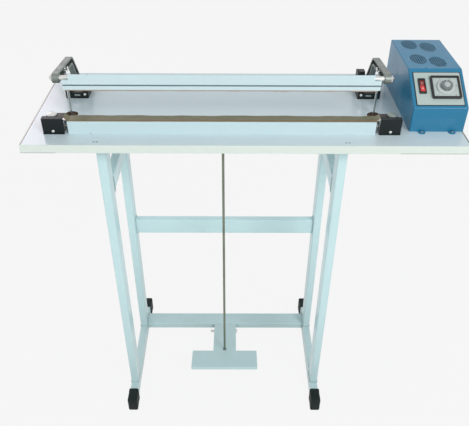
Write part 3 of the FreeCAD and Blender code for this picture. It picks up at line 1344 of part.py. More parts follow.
    # chassis plate with its four lugs, transformer, terminal strip and cord gland
    inside = "(box_sheet + seat_gap)"
    plate = box("chassis_plate", (f"box_left + {inside}", f"box_right - {inside}"),
                (f"box_face + {inside}", f"box_rear - {inside}"), ("table_height", "chassis_top"))
    sub_part("box_chassis", plate)
    lugs = []
    for index, (x, y) in enumerate(BOX_SCREWS):
        near = "box_face" if index < 2 else "box_rear"
        ends = (f"{y}", near) if index < 2 else (near, f"{y}")
        strip = box(f"box_lug_{index}_strip", (f"{x} - lug_wide / 2", f"{x} + lug_wide / 2"), ends,
                    ("table_height", "chassis_top"))
        eye = drum(f"box_lug_{index}_eye", "z", "lug_wide", ("table_height", "chassis_top"), (x, y))
        trim = box(f"box_lug_{index}_trim", (f"{x} - lug_wide", f"{x} + lug_wide"),
                   ("box_face", "box_rear"), ("table_height - 1", "chassis_top + 1"))
        hole = screw_hole(f"box_lug_{index}_hole", "z", ("table_height - 1", "chassis_top + 1"), (x, y))
        lugs.append(cut(f"box_lug_{index}", fuse(f"box_lug_{index}_whole", strip, eye), trim, hole))
    sub_part("box_lugs", group("box_lugs", *lugs))
    screws = [screw(f"box_screw_{index}", "z", "chassis_top", -1, place) for index, place in enumerate(BOX_SCREWS)]
    sub_part("box_screws", group("box_screws", *screws))

    core_x = ("box_middle - core_wide / 2", "box_middle + core_wide / 2")
    core_span = ("core_y - core_deep / 2", "core_y + core_deep / 2")
    stack = box("core_stack", core_x, core_span, ("chassis_top", "chassis_top + core_tall"))
    coil_x = ("box_middle - coil_wide / 2", "box_middle + coil_wide / 2")
    coil_y = ("core_y - coil_deep / 2", "core_y + coil_deep / 2")
    coil_z = ("chassis_top + (core_tall - coil_tall) / 2", "chassis_top + (core_tall + coil_tall) / 2")
    window = box("core_window", coil_x, coil_y, coil_z)
    sub_part("transformer_core", cut("transformer_core", stack, window))
    sub_part("transformer_coil", box("transformer_coil", coil_x, coil_y, coil_z))
    strip_y = ("box_rear - strip_gap - strip_block_deep", "box_rear - strip_gap")
    strip_x = ("box_middle - strip_block_wide / 2", "box_middle + strip_block_wide / 2")
    sub_part("terminal_strip", box("terminal_strip", strip_x, strip_y, ("chassis_top", "chassis_top + strip_block_tall")))
    middle = ("box_middle - lug_spacing / 3", "table_height + gland_height")
    flange = prism("gland_flange", "y", 6, "gland_dia", ("box_rear", "box_rear + gland_out / 3"), middle)
    nose = cone("gland_nose", "y", "gland_dia * 0.85", "gland_bore + 3",
                ("box_rear + gland_out / 3", "box_rear + gland_out"), middle)
    neck = drum("gland_neck", "y", "gland_bore + 4", ("box_rear - box_sheet - 4", "box_rear"), middle)
    bore = drum("gland_passage", "y", "gland_bore", ("box_rear - box_sheet - 5", "box_rear + gland_out + 1"), middle)
    sub_part("cord_gland", cut("cord_gland", fuse("gland_whole", flange, nose, neck), bore))


def rocker_button(bezel_at):
    """Red rocker: a shallow V seen from the side, hung on the axle across its well."""
    half = size["rocker_long"] / 2 - 4
    top = 4.2
    outline = [
        Vector(0, -half, 0.5), Vector(0, -half, top), Vector(0, 0, top - 2.2), Vector(0, half, top - 1.4),
        Vector(0, half, -0.8), Vector(0, 2.5, -4), Vector(0, -2.5, -4), Vector(0, -half, 0.5),
    ]
    solid = Part.Face(Part.makePolygon(outline)).extrude(Vector(size["rocker_wide"] - 4.6, 0, 0))
    bore_radius = size["rocker_pin_dia"] / 2 + size["pin_clear"]
    bore = Part.makeCylinder(bore_radius, size["rocker_wide"], Vector(-1, 0, 0), Vector(1, 0, 0))
    button = doc.addObject("Part::Feature", "rocker_button")
    button.Shape = solid.cut(bore)
    middle = (bezel_at[0] + 2.3, bezel_at[1] + size["rocker_long"] / 2, size["panel_thick"] - 1)
    button.Placement = on_panel(*middle)
    return button


table()
stand()
mounting_strips()
lower_jaw()
jaw_ends()
swing_arms()
housings()
return_springs()
upper_jaw()
pull_frame()
treadle()
end_switch()
control_box()
doc.recompute()

failed = [item.Name for item in doc.Objects if "Invalid" in item.State or "Error" in item.State]
for piece in parts:
    if piece.Shape.isNull() or not piece.Shape.isValid():
        failed.append(piece.Label)
if failed:
    raise RuntimeError("failed objects: " + ", ".join(failed))

os.makedirs("parts", exist_ok=True)
for piece in parts:
    piece.Shape.exportStep(f"parts/{piece.Label}.step")
print(len(parts), "parts written")
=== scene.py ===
# %% [markdown]
# # A foot-operated sealer
# A bar sealer for plastic bags stands on four rubber feet. The rigid parts come from a CAD
# model, and this lesson gives them a camera, light, finishes and the small pieces that a
# shop would fit last: screws, weld beads, springs, the dial's scale. Everything is in metres.

# %% Load the rigid parts
import json
import math
import bmesh
import bpy
from mathutils import Matrix, Vector


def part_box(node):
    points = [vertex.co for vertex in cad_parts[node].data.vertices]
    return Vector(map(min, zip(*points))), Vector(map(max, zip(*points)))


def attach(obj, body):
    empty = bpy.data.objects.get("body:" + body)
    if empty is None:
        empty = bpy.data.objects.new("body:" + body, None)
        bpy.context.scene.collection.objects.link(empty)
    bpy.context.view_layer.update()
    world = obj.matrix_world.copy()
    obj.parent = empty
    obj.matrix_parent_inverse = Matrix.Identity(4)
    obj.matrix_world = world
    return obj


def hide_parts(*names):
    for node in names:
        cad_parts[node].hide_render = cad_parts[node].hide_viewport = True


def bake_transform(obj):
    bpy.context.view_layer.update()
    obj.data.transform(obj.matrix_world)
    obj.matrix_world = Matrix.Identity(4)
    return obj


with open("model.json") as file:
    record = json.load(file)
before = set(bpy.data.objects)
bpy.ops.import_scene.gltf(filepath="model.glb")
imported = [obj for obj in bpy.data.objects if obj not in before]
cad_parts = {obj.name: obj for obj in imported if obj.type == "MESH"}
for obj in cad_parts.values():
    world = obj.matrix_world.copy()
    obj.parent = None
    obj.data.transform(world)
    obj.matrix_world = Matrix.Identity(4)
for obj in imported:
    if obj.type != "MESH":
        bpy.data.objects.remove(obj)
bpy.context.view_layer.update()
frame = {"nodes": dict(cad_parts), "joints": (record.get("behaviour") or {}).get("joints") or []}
nodes = frame["nodes"]

# %% [markdown]
# The camera stands a little left of the sealer's middle, well above the table, and looks
# down at it. Its three axes are built from a turn, a tilt and a roll, which is easier to
# read back than a quaternion.

# %% Camera
turn, tilt, roll = math.radians(0.29), math.radians(36.70), math.radians(0.31)
ahead = Vector((math.sin(turn) * math.cos(tilt), math.cos(turn) * math.cos(tilt), -math.sin(tilt)))
level = Vector((math.cos(turn), -math.sin(turn), 0))
above = level.cross(ahead)
across = math.cos(roll) * level + math.sin(roll) * above
upward = math.cos(roll) * above - math.sin(roll) * level

eye = Vector((-0.0272, -1.1983, 1.4328))
lens = bpy.data.cameras.new("camera")
lens.sensor_width, lens.lens = 36, 45.63
lens.clip_start, lens.clip_end = 0.05, 60
camera = bpy.data.objects.new("camera", lens)
camera.matrix_world = Matrix.Translation(eye) @ Matrix((across, upward, -ahead)).transposed().to_4x4()
bpy.context.scene.collection.objects.link(camera)
bpy.context.scene.camera = camera
bpy.context.scene.view_settings.view_transform = "Standard"
print("camera at", [round(value, 3) for value in eye])

# %% [markdown]
# Shader maths reads best as sums. One small class wraps a socket, so that `1 - dust * 0.2`
# adds its own Math nodes, and one method adds any other node.

# %% A socket that can be used in sums
class Wire:
    def __init__(self, tree, socket):
        self.tree, self.socket = tree, socket

    def node(self, kind, settings=(), inputs=(), out=0):
        made = self.tree.nodes.new(kind)
        for key, value in dict(settings).items():
            setattr(made, key, value)
        for key, value in dict(inputs).items():
            if isinstance(value, Wire):
                self.tree.links.new(value.socket, made.inputs[key])
            else:
                made.inputs[key].default_value = value
        return Wire(self.tree, made.outputs[out])

    def maths(self, operation, first, second):
        return self.node("ShaderNodeMath", {"operation": operation}, {0: first, 1: second})

    def __add__(self, other):
        return self.maths("ADD", self, other)

    __radd__ = __add__

    def __mul__(self, other):
        return self.maths("MULTIPLY", self, other)

    __rmul__ = __mul__

    def __sub__(self, other):
        return self.maths("SUBTRACT", self, other)

    def __rsub__(self, other):
        return self.maths("SUBTRACT", other, self)

    def __gt__(self, other):
        return self.maths("GREATER_THAN", self, other)

    def __lt__(self, other):
        return self.maths("LESS_THAN", self, other)

    def abs(self):
        return self.maths("ABSOLUTE", self, 0)

    def sine(self):
        return self.maths("SINE", self, 0)

    def axis(self, letter):
        return self.node("ShaderNodeSeparateXYZ", (), {0: self}, "XYZ".index(letter))

    def noise(self, scale, detail=3, roughness=0.5):
        return self.node("ShaderNodeTexNoise", (), {
            "Vector": self, "Scale": scale, "Detail": detail, "Roughness": roughness})

    def stretch(self, scale):
        return self.node("ShaderNodeMapping", (), {"Vector": self, "Scale": scale})

    def away(self, x, y):
        """How far a point lies, seen from above, from an upright line."""
        flat = self.node("ShaderNodeVectorMath", {"operation": "MULTIPLY"}, {0: self, 1: (1, 1, 0)})
        return flat.node("ShaderNodeVectorMath", {"operation": "DISTANCE"}, {0: flat, 1: (x, y, 0)}, 1)

    def blend(self, low, high):
        """A colour between two, by this wire's value."""
        mixed = self.node("ShaderNodeMix", {"data_type": "RGBA"}, {0: self}, 2)
        mixer = mixed.socket.node
        for index, colour in ((6, low), (7, high)):
            if isinstance(colour, Wire):
                self.tree.links.new(colour.socket, mixer.inputs[index])
            else:
                mixer.inputs[index].default_value = (*colour, 1)
        return mixed

    def ramp(self, start, end, low, high):
        """Stretch start to end, of this wire's value, onto low to high, and stop there."""
        return self.node("ShaderNodeMapRange", (), {
            "Value": self, "From Min": start, "From Max": end, "To Min": low, "To Max": high})

    def spread(self, low, high):
        """This wire's 0.3 to 0.7, where most noise lies, stretched between two values."""
        return self.ramp(0.3, 0.7, low, high)


def bare_tree(owner):
    """The node tree of a material or a world, emptied."""
    owner.use_nodes = True
    owner.node_tree.nodes.clear()
    return owner.node_tree


def finish(name, recipe, **fixed):
    """A material whose recipe turns Object coordinates into what the shader's sockets take."""
    material = bpy.data.materials.new(name)
    tree = bare_tree(material)
    output = tree.nodes.new("ShaderNodeOutputMaterial")
    shader = tree.nodes.new("ShaderNodeBsdfPrincipled")
    tree.links.new(shader.outputs[0], output.inputs[0])
    coordinates = tree.nodes.new("ShaderNodeTexCoord")
    place = Wire(tree, coordinates.outputs["Object"])
    for socket, value in recipe(place).items():
        if socket == "Height":
            height, strength, distance = value
            normal = place.node("ShaderNodeBump", (), {
                "Height": height, "Strength": strength, "Distance": distance})
            tree.links.new(normal.socket, shader.inputs["Normal"])
        elif isinstance(value, Wire):
            tree.links.new(value.socket, shader.inputs[socket])
        elif isinstance(value, tuple):
            shader.inputs[socket].default_value = (*value, 1)
        else:
            shader.inputs[socket].default_value = value
    for socket, value in fixed.items():
        shader.inputs[socket.replace("_", " ")].default_value = value
    return material


def wear(material, *parts):
    """Give a finish to the parts that are listed after it."""
    for part in parts:
        mesh = nodes[part].data
        mesh.materials.clear()
        mesh.materials.append(material)
    print(material.name, "on", len(parts), "parts")


# %% [markdown]
# Sprayed enamel isn't a flat colour. It has orange peel, the fine ripple of the spray, a
# slow drift in tone where the coat is thicker, and a little grime near the floor. All
# three come from noise on Object coordinates, so neighbouring tubes carry on the pattern.
# Toward the floor the colour is also darkened, which is painted shade.

# %% Enamels
grime_colour, grime_top, grime_share = (0.42, 0.46, 0.44), 0.10, 0.35
# Painted shade darkens the enamel toward the floor: where it starts and ends, how much, and its tone.
shade_foot, shade_top, shade_share, shade_tone = 0.10, 0.45, 0.45, 0.62


def enamel(thin, thick, gloss):
    """Sprayed paint between two tones, grimy toward the floor and darkened there with painted shade."""
    def recipe(place):
        paint = place.noise(5, 2).spread(0, 1).blend(thin, thick)
        low = place.axis("Z").ramp(0.0, grime_top, grime_share, 0.0)
        dirt = low * place.noise(45, 5, 0.7).spread(0, 1)
        # The paint is darkened toward the floor as painted shade.
        painted_shade = place.axis("Z").ramp(shade_foot, shade_top, shade_share, 0.0)
        paint = painted_shade.blend(paint, tuple(channel * shade_tone for channel in thin))
        return {
            "Base Color": dirt.blend(paint, grime_colour),
            "Roughness": place.noise(30, 4).spread(gloss - 0.05, gloss + 0.08) + dirt * 0.4,
            "Height": (place.noise(520, 2), 0.1, 0.0004),
        }
    return recipe


satin = {"Coat_Weight": 0.2, "Coat_Roughness": 0.15}
jaw_paint = enamel((0.60, 0.745, 0.775), (0.585, 0.73, 0.76), 0.34)
tube_enamel = finish("tube_enamel", enamel((0.60, 0.80, 0.81), (0.575, 0.775, 0.79), 0.34), **satin)
jaw_enamel = finish("jaw_enamel", jaw_paint, **satin)
weld_enamel = finish("weld_enamel", enamel((0.47, 0.64, 0.65), (0.30, 0.42, 0.43), 0.4))
wear(tube_enamel, *[name for name in nodes if name.startswith(
    ("front_leg", "rear_leg", "base_tube", "side_rail", "upper_cross", "lower_cross"))],
    "treadle", "treadle_lugs", "mounting_strips")
wear(jaw_enamel, "lower_jaw_beam", "jaw_end_blocks")

# %% [markdown]
# The control box is a deep blue. Its paint stops at the edges of the sheet: inside, the
# steel is painted near black as shade, and that painted shade gives the vents their contrast.
# A second material inside would need the sheet's inner faces picked out one by one, so the
# finish works out which points lie inside the sheet. In the same way the upper jaw's groove
# is painted darker as shade.

# %% Enamel on the box and in the groove
box_low, box_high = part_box("box_cover")
box_front_tall, box_tall, slope_deep = 0.053, 0.102, 0.084
box_bend = box_low.z + box_front_tall
slope = math.atan2(box_tall - box_front_tall, slope_deep)


def box_paint(place):
    coat = enamel((0.020, 0.200, 0.355), (0.017, 0.180, 0.325), 0.3)(place)
    x, y, z = (place.axis(letter) for letter in "XYZ")
    skin = 0.0007
    # Points inside the sheet are painted near black: painted shade inside the box.
    inside_shade = (x - (box_low.x + box_high.x) / 2).abs() < (box_high.x - box_low.x) / 2 - skin
    inside_shade = inside_shade * (y > box_low.y + skin) * (y < box_high.y - skin) * (z < box_high.z - skin)
    depth = (y - box_low.y) * math.tan(slope) - (z - box_bend)
    inside_shade = inside_shade * (depth > skin / math.cos(slope))
    return {**coat, "Base Color": inside_shade.blend(coat["Base Color"], (0.010, 0.018, 0.024))}


upper_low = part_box("upper_jaw_beam")[0]
groove_front, groove_back = upper_low.y + 0.0004, upper_low.y + 0.0036
groove_foot, groove_top = upper_low.z + 0.0078, upper_low.z + 0.0112


def grooved_paint(place):
    coat = jaw_paint(place)
    y, z = place.axis("Y"), place.axis("Z")
    # The groove is painted darker: painted shade in the recess.
    groove_shade = (y > groove_front) * (y < groove_back) * (z > groove_foot) * (z < groove_top)
    return {**coat, "Base Color": groove_shade.blend(coat["Base Color"], (0.22, 0.30, 0.32))}


box_enamel = finish("box_enamel", box_paint, Coat_Weight=0.25, Coat_Roughness=0.05,
                    Specular_IOR_Level=0.25)
wear(finish("groove_shade_enamel", grooved_paint, **satin), "upper_jaw_beam")
wear(box_enamel, "box_cover", "box_lugs", "box_chassis")


# %% [markdown]
# The table is faced with a grey laminate. Such sheets have a speckle finer than a
# millimetre and a satin surface that shows long soft reflections, with hairline scuffs.
# Its core is brown, so it shows as a dark wall in the two rod holes and as a thin line
# where the sheet meets the plastic edging at the table's ends.

# %% Table finishes
board_low, board_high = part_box("table_board")
rods_low, rods_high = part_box("pull_rods")
rod_radius, hole_radius, hole_ahead = 0.0025, 0.0145, 0.006
hole_y = (rods_low.y + rods_high.y) / 2 - hole_ahead
core_line, core_margin = 0.0022, 0.0004
# The edging's painted shade under the table's edge: its height, middle and reach.
under_shade_tall, under_shade_middle, under_shade_reach = 0.0011, -0.035, 0.345


def laminate(place):
    speckle = place.noise(1400, 1).spread(0, 1)
    cloud = place.noise(3, 2).spread(0, 1)
    face = speckle.blend((0.600, 0.705, 0.740), (0.640, 0.745, 0.775))
    scuffs = place.stretch((18, 240, 40)).noise(3, 6, 0.8).spread(0, 1)
    face = (cloud * 0.3).blend(face, (0.58, 0.68, 0.715))
    left_wall = place.away(rods_low.x + rod_radius, hole_y) < hole_radius + core_margin
    right_wall = place.away(rods_high.x - rod_radius, hole_y) < hole_radius + core_margin
    line = place.axis("X").abs() > board_high.x - core_line
    core = line.maths("MAXIMUM", left_wall + right_wall, line)
    return {
        "Base Color": core.blend(face, (0.105, 0.068, 0.052)),
        "Roughness": scuffs * 0.08 + 0.18,
        "Height": (speckle, 0.05, 0.0002),
    }


def edging(place):
    streak = place.stretch((14, 14, 900)).noise(2, 3).spread(0, 1)
    # The lowest strip of the edging, toward both ends, is painted dark as shade under the table's edge.
    under = place.axis("Z") < board_low.z + under_shade_tall
    under_shade = under * ((place.axis("X") - under_shade_middle).abs() > under_shade_reach)
    plastic_band = streak.blend((0.69, 0.77, 0.70), (0.73, 0.80, 0.735))
    return {
        "Base Color": (under_shade * 0.75).blend(plastic_band, (0.12, 0.13, 0.11)),
        "Roughness": streak * 0.1 + 0.35,
        "Height": (streak, 0.08, 0.0003),
    }


wear(finish("laminate", laminate, Coat_Weight=0.2, Coat_Roughness=0.12), "table_board")
wear(finish("edging", edging), "edge_band")


# %% [markdown]
# Three metals show. Zinc plate is bright with a faint cloudy tint. The arms are sand cast,
# so their skin is grainy. The centre rod is drawn steel,
# dulled by handling, with its long scratches along the rod. Two of the screw finishes are
# zinc's fine grain under another colour, so they share its recipe.

# %% Metals
def zinc(place):
    cloud = place.noise(60, 3).spread(0, 1)
    grain = place.noise(900, 3).spread(0, 1)
    return {
        "Base Color": cloud.blend((0.62, 0.64, 0.62), (0.70, 0.71, 0.69)),
        "Roughness": grain * 0.08 + 0.26,
        "Height": (grain, 0.03, 0.0001),
    }


def tinted_zinc(colour):
    return lambda place: {**zinc(place), "Base Color": colour}


def cast_metal(place):
    sand = place.noise(650, 5, 0.65).spread(0, 1)
    skin = place.noise(40, 4).spread(0, 1).blend((0.19, 0.22, 0.205), (0.31, 0.34, 0.32))
    pits = (1 - sand) * 0.3
    return {
        "Base Color": pits.blend(skin, (0.07, 0.08, 0.075)),
        "Roughness": sand * 0.16 + 0.34,
        "Metallic": 0.75,
        "Height": (sand, 0.35, 0.0005),
    }


def drawn_steel(place):
    lines = place.stretch((900, 900, 6)).noise(2, 4).spread(0, 1)
    stain = place.noise(26, 4, 0.7).spread(0, 1)
    bare = lines.blend((0.19, 0.215, 0.165), (0.30, 0.33, 0.26))
    return {
        "Base Color": (stain * 0.5).blend(bare, (0.12, 0.13, 0.09)),
        "Roughness": stain * 0.2 + 0.34,
        "Metallic": 0.7,
        "Height": (lines, 0.1, 0.0002),
    }


zinc_plate = finish("zinc_plate", zinc, Metallic=1.0)
cast_skin = finish("cast_skin", cast_metal)
rod_steel = finish("rod_steel", drawn_steel)
dull_zinc = finish("dull_zinc", tinted_zinc((0.24, 0.31, 0.34)), Metallic=1.0)
blued_steel = finish("blued_steel", tinted_zinc((0.10, 0.11, 0.11)), Metallic=0.9)
wear(zinc_plate, "jaw_pins", "acorn_nuts", "rod_pins", "tail_pins", "pivot_pins", "pivot_spacers",
     "pull_rods", "yoke_bar", "yoke_nuts", "rod_end_nut", "treadle_pin", "switch_lever",
     "ribbon_lugs", "strip_screws", "jaw_bolts")
wear(cast_skin, "arm_left", "arm_right")
wear(rod_steel, "centre_rod", "heating_ribbon")


# %% [markdown]
# The black pressings have a wrinkle paint, the feet are moulded rubber that has picked up
# dust, and the plastics are smooth with a faint moulding haze.

# %% Black paint, rubber and plastics
def wrinkle_paint(place):
    wrinkle = place.noise(420, 3, 0.6).spread(0, 1)
    return {
        "Base Color": (wrinkle * 0.6).blend((0.006, 0.010, 0.010), (0.016, 0.022, 0.022)),
        "Roughness": wrinkle * 0.12 + 0.32,
        "Height": (wrinkle, 0.25, 0.0004),
    }


def moulded_rubber(place):
    dust = place.noise(35, 5, 0.7).spread(0, 1)
    return {
        "Base Color": (dust * 0.6).blend((0.004, 0.009, 0.009), (0.015, 0.024, 0.023)),
        "Roughness": dust * 0.2 + 0.5,
        "Height": (place.noise(700, 3), 0.25, 0.0004),
    }


def plastic(colour, gloss):
    def recipe(place):
        haze = place.noise(50, 3).spread(0, 1)
        return {
            "Base Color": haze.blend(colour, tuple(channel * 0.88 for channel in colour)),
            "Roughness": haze * 0.08 + gloss,
            "Height": (place.noise(800, 2), 0.05, 0.0002),
        }
    return recipe


black_paint = finish("wrinkle_black", wrinkle_paint, Specular_IOR_Level=0.25)
foot_rubber = finish("foot_rubber", moulded_rubber, Specular_IOR_Level=0.2)
black_plastic = finish("black_plastic", plastic((0.008, 0.010, 0.010), 0.36))
brown_plastic = finish("brown_plastic", plastic((0.045, 0.032, 0.026), 0.42))
white_plastic = finish("white_plastic", plastic((0.80, 0.80, 0.77), 0.25), Coat_Weight=0.4)
grey_plastic = finish("grey_plastic", plastic((0.24, 0.30, 0.27), 0.22), Coat_Weight=0.4)
knob_grey = finish("knob_grey", plastic((0.16, 0.185, 0.18), 0.16), Coat_Weight=0.6)
wear(black_paint, "end_cover_left", "end_cover_right", "pivot_housing_left", "pivot_housing_right")
wear(brown_plastic, "terminal_block_left", "terminal_block_right", "terminal_strip")
wear(black_plastic, "end_switch", "cord_gland")


# %% [markdown]
# On the lower jaw lies a glass cloth coated with a slippery brown resin. An image of the
# weave would blur near by, so two sines, one each way and a thread every 1.2 mm, are
# multiplied into fine squares. The heat has darkened the cloth, and its cut front edge is
# golden. Under the upper jaw is a strip of pale brown silicone rubber. Wound tape and thin
# iron sheets are inside the control box, where the vents let them show.

# %% Cloth, rubber strip, transformer
cloth_low, cloth_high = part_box("cover_cloth")
thread_rate = 5200
golden_from, golden_to = cloth_low.y + 0.0018, cloth_low.y + 0.0060


def coated_cloth(place):
    warp, weft = ((place.axis(letter) * thread_rate).sine() * 0.5 + 0.5 for letter in "XY")
    weave = warp * weft
    blotch = place.stretch((14, 60, 20)).noise(3, 4).spread(0, 1)
    cloth = blotch.blend((0.168, 0.160, 0.088), (0.117, 0.110, 0.056))
    cloth = (weave * 0.25).blend(cloth, (0.26, 0.24, 0.145))
    fresh = place.axis("Y").ramp(golden_from, golden_to, 1.0, 0.0)
    return {
        "Base Color": fresh.blend(cloth, (0.190, 0.115, 0.030)),
        "Roughness": weave * 0.1 + 0.36,
        "Height": (weave, 0.15, 0.0003),
    }


def silicone(place):
    streak = place.stretch((6, 80, 80)).noise(3, 4).spread(0, 1)
    return {
        "Base Color": streak.blend((0.46, 0.33, 0.26), (0.54, 0.40, 0.33)),
        "Roughness": streak * 0.15 + 0.5,
        "Height": (place.noise(500, 3), 0.12, 0.0003),
    }


def wound_tape(place):
    turns = place.stretch((30, 30, 700)).noise(2, 2).spread(0, 1)
    return {
        "Base Color": turns.blend((0.44, 0.27, 0.05), (0.55, 0.35, 0.08)),
        "Roughness": turns * 0.1 + 0.3,
        "Height": (turns, 0.3, 0.0004),
    }


def lamination(place):
    sheets = place.stretch((20, 1800, 20)).noise(2, 2).spread(0, 1)
    return {
        "Base Color": sheets.blend((0.05, 0.045, 0.04), (0.11, 0.10, 0.09)),
        "Roughness": sheets * 0.15 + 0.4,
        "Height": (sheets, 0.4, 0.0004),
    }


cloth_brown = finish("coated_cloth", coated_cloth)
strip_rubber = finish("silicone", silicone)
wear(cloth_brown, "insulation_strip")
wear(finish("wound_tape", wound_tape), "transformer_coil")
wear(finish("lamination", lamination), "transformer_core")


# %% [markdown]
# The control panel is a thin brushed plate on the sloping face. A dark line is printed at
# its very edge. Rather than model a line of ink, the finish measures how far a point lies
# from the plate's edge, on coordinates turned to lie in the slope.

# %% Panel plate
plate_low, plate_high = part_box("control_panel")
plate_middle = (plate_low + plate_high) / 2
plate_half = (plate_high.x - plate_low.x) / 2
plate_reach = (plate_high.y - plate_low.y) / 2 / math.cos(slope)
plate_thick = 0.0012
plate_top = plate_thick / 2
line_wide, line_corner = 0.0016, 0.0045
on_plate = Matrix.Translation(plate_middle) @ Matrix.Rotation(slope, 4, "X")


def in_slope(place, middle):
    """Coordinates about a point, turned to lie in the slope."""
    return place.node("ShaderNodeMapping", {"vector_type": "TEXTURE"}, {
        "Vector": place, "Location": tuple(middle), "Rotation": (slope, 0, 0)})


def panel_sheet(place):
    flat = in_slope(place, plate_middle)
    brushed = flat.stretch((8, 900, 900)).noise(2, 3).spread(0, 1)
    side = plate_half - flat.axis("X").abs()
    end = plate_reach - flat.axis("Y").abs()
    near = side.maths("MINIMUM", side, end)
    line = near.maths("MAXIMUM", near < line_wide, side + end < line_corner)
    metal = brushed.blend((0.42, 0.50, 0.475), (0.47, 0.55, 0.52))
    return {
        "Base Color": line.blend(metal, (0.012, 0.016, 0.020)),
        "Roughness": brushed * 0.12 + 0.36,
        "Height": (brushed, 0.06, 0.0002),
    }


wear(finish("panel_sheet", panel_sheet), "control_panel")
print("panel slopes at", round(math.degrees(slope), 1), "degrees")

# %% [markdown]
# The rocker is clear red plastic. The half that faces down the slope is bright red, the
# other half is painted deep red as shade, and they meet in a narrow blend at the hinge.

# %% Red plastic with painted shade
rocker_low, rocker_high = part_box("rocker_button")
rocker_middle = (rocker_low + rocker_high) / 2


def lit_red(place):
    # The upper half of the rocker is painted deep red as shade.
    shaded = in_slope(place, rocker_middle).axis("Y").ramp(-0.0005, 0.0015, 0.0, 1.0)
    haze = place.noise(50, 3).spread(0.94, 1.0)
    return {
        "Base Color": shaded.blend((0.74, 0.014, 0.014), (0.24, 0.008, 0.010)),
        "Roughness": haze * 0.18,
        "Height": (haze, 0.05, 0.0002),
    }


signal_red = finish("signal_red", lit_red, Coat_Weight=0.5)
print("rocker between", round(rocker_low.y, 4), "and", round(rocker_high.y, 4))


# %% [markdown]
# Every new piece ends the same way: its bmesh becomes an object at the origin, its sharp
# edges stay sharp while the rest is shaded smooth, and it rides on the body that carries
# it. One helper does this, so that a piece needs only its shape.

# %% Turn a shape into a piece
def piece(name, shape, material, body="stand", replaces=(), sharp=35):
    for face in shape.faces:
        face.smooth = True
    for edge in shape.edges:
        edge.smooth = len(edge.link_faces) == 2 and edge.calc_face_angle(0) < math.radians(sharp)
    mesh = bpy.data.meshes.new(name)
    shape.to_mesh(mesh)
    shape.free()
    mesh.materials.append(material)
    made = bpy.data.objects.new(name, mesh)
    bpy.context.scene.collection.objects.link(made)
    if body:
        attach(made, body)
    if replaces:
        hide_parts(*replaces)
    print(name, len(mesh.polygons), "faces")
    return made


def turned(profile, steps=24):
    """A lathe: points of a half outline, as radius and height, spun about the Z axis."""
    shape = bmesh.new()
    points = [shape.verts.new((radius, 0, height)) for radius, height in profile]
    edges = [shape.edges.new(pair) for pair in zip(points, points[1:])]
    bmesh.ops.spin(shape, geom=points + edges, cent=(0, 0, 0), axis=(0, 0, 1),
                   angle=math.tau, steps=steps, use_merge=True)
    bmesh.ops.remove_doubles(shape, verts=shape.verts, dist=1e-6)
    bmesh.ops.recalc_face_normals(shape, faces=shape.faces)
    return shape


def copied(shape, places):
    """The same shape at several placements, as one bmesh."""
    model = bpy.data.meshes.new("model")
    shape.to_mesh(model)
    shape.free()
    several = bmesh.new()
    for matrix in places:
        before = len(several.verts)
        several.from_mesh(model)
        several.verts.ensure_lookup_table()
        bmesh.ops.transform(several, matrix=matrix, verts=several.verts[before:])
    bpy.data.meshes.remove(model)
    return several


def facing(place, direction, spin=0.0):
    """A placement at a point, whose Z axis looks along a direction."""
    aim = Vector(direction).to_track_quat("Z", "Y").to_matrix().to_4x4()
    return Matrix.Translation(place) @ aim @ Matrix.Rotation(spin, 4, "Z")


# %% [markdown]
# Four small tools come back in many pieces: a block to start from, soft edges, a cut that
# divides every face a plane meets, and faces that are pulled out or driven in.

# %% Shaping tools
def block(size):
    shape = bmesh.new()
    bmesh.ops.create_cube(shape, size=1)
    bmesh.ops.scale(shape, vec=size, verts=shape.verts)
    return shape


def soften(shape, edges, offset, segments):
    bmesh.ops.bevel(shape, geom=edges, offset=offset, affect="EDGES", segments=segments,
                    profile=0.5, material=-1)


def cut_across(shape, point, normal):
    bmesh.ops.bisect_plane(shape, geom=shape.verts[:] + shape.edges[:] + shape.faces[:],
                           plane_co=point, plane_no=normal)


def moved_faces(shape, faces, way, leave_floor=True):
    """Extrude faces along a vector, with or without the old faces left behind."""
    grown = bmesh.ops.extrude_face_region(shape, geom=faces)
    if not leave_floor:
        bmesh.ops.delete(shape, geom=faces, context="FACES")
    corners = [item for item in grown["geom"] if isinstance(item, bmesh.types.BMVert)]
    bmesh.ops.translate(shape, vec=way, verts=corners)


# %% [markdown]
# A pan-head screw is a lathe job with a cross recess driven into it. The recess is made as
# a punch would: eight cuts mark a cross on the dome, and the faces inside it are pushed
# down. No two screws end up at the same angle, so each is spun a little.

# %% Screws
head_radius, head_tall, shank_radius, shank_long = 0.0034, 0.0023, 0.0019, 0.010
first_spin, next_spin = 0.5, 1.3


def cross_screw(radius, tall):
    shape = turned([(0, tall), (radius * 0.4, tall * 0.95), (radius * 0.72, tall * 0.76),
                    (radius * 0.92, tall * 0.42), (radius, tall * 0.1), (radius, 0),
                    (shank_radius, 0), (shank_radius, -shank_long), (0, -shank_long - 0.001)])
    arm, half = radius * 0.56, radius * 0.13
    for normal in ((1, 0, 0), (0, 1, 0)):
        for offset in (-arm, -half, half, arm):
            cut_across(shape, Vector(normal) * offset, normal)
    recess = []
    for face in shape.faces:
        middle = face.calc_center_median()
        wide, high = sorted((abs(middle.x), abs(middle.y)))
        if middle.z > tall * 0.5 and wide < half and high < arm:
            recess.append(face)
    moved_faces(shape, recess, (0, 0, -tall * 0.5), leave_floor=False)
    return shape


def screws(name, seats, direction, radius=head_radius, tall=head_tall, metal=zinc_plate, replaces=()):
    places = [facing(seat, direction, first_spin + next_spin * index) for index, seat in enumerate(seats)]
    piece(name, copied(cross_screw(radius, tall), places), metal, replaces=replaces)


def corners_of(node, inset):
    """The X and Y of a node's four corners, moved in by an inset."""
    low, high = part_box(node)
    return [(x, y) for x in (low.x + inset, high.x - inset) for y in (low.y + inset, high.y - inset)]


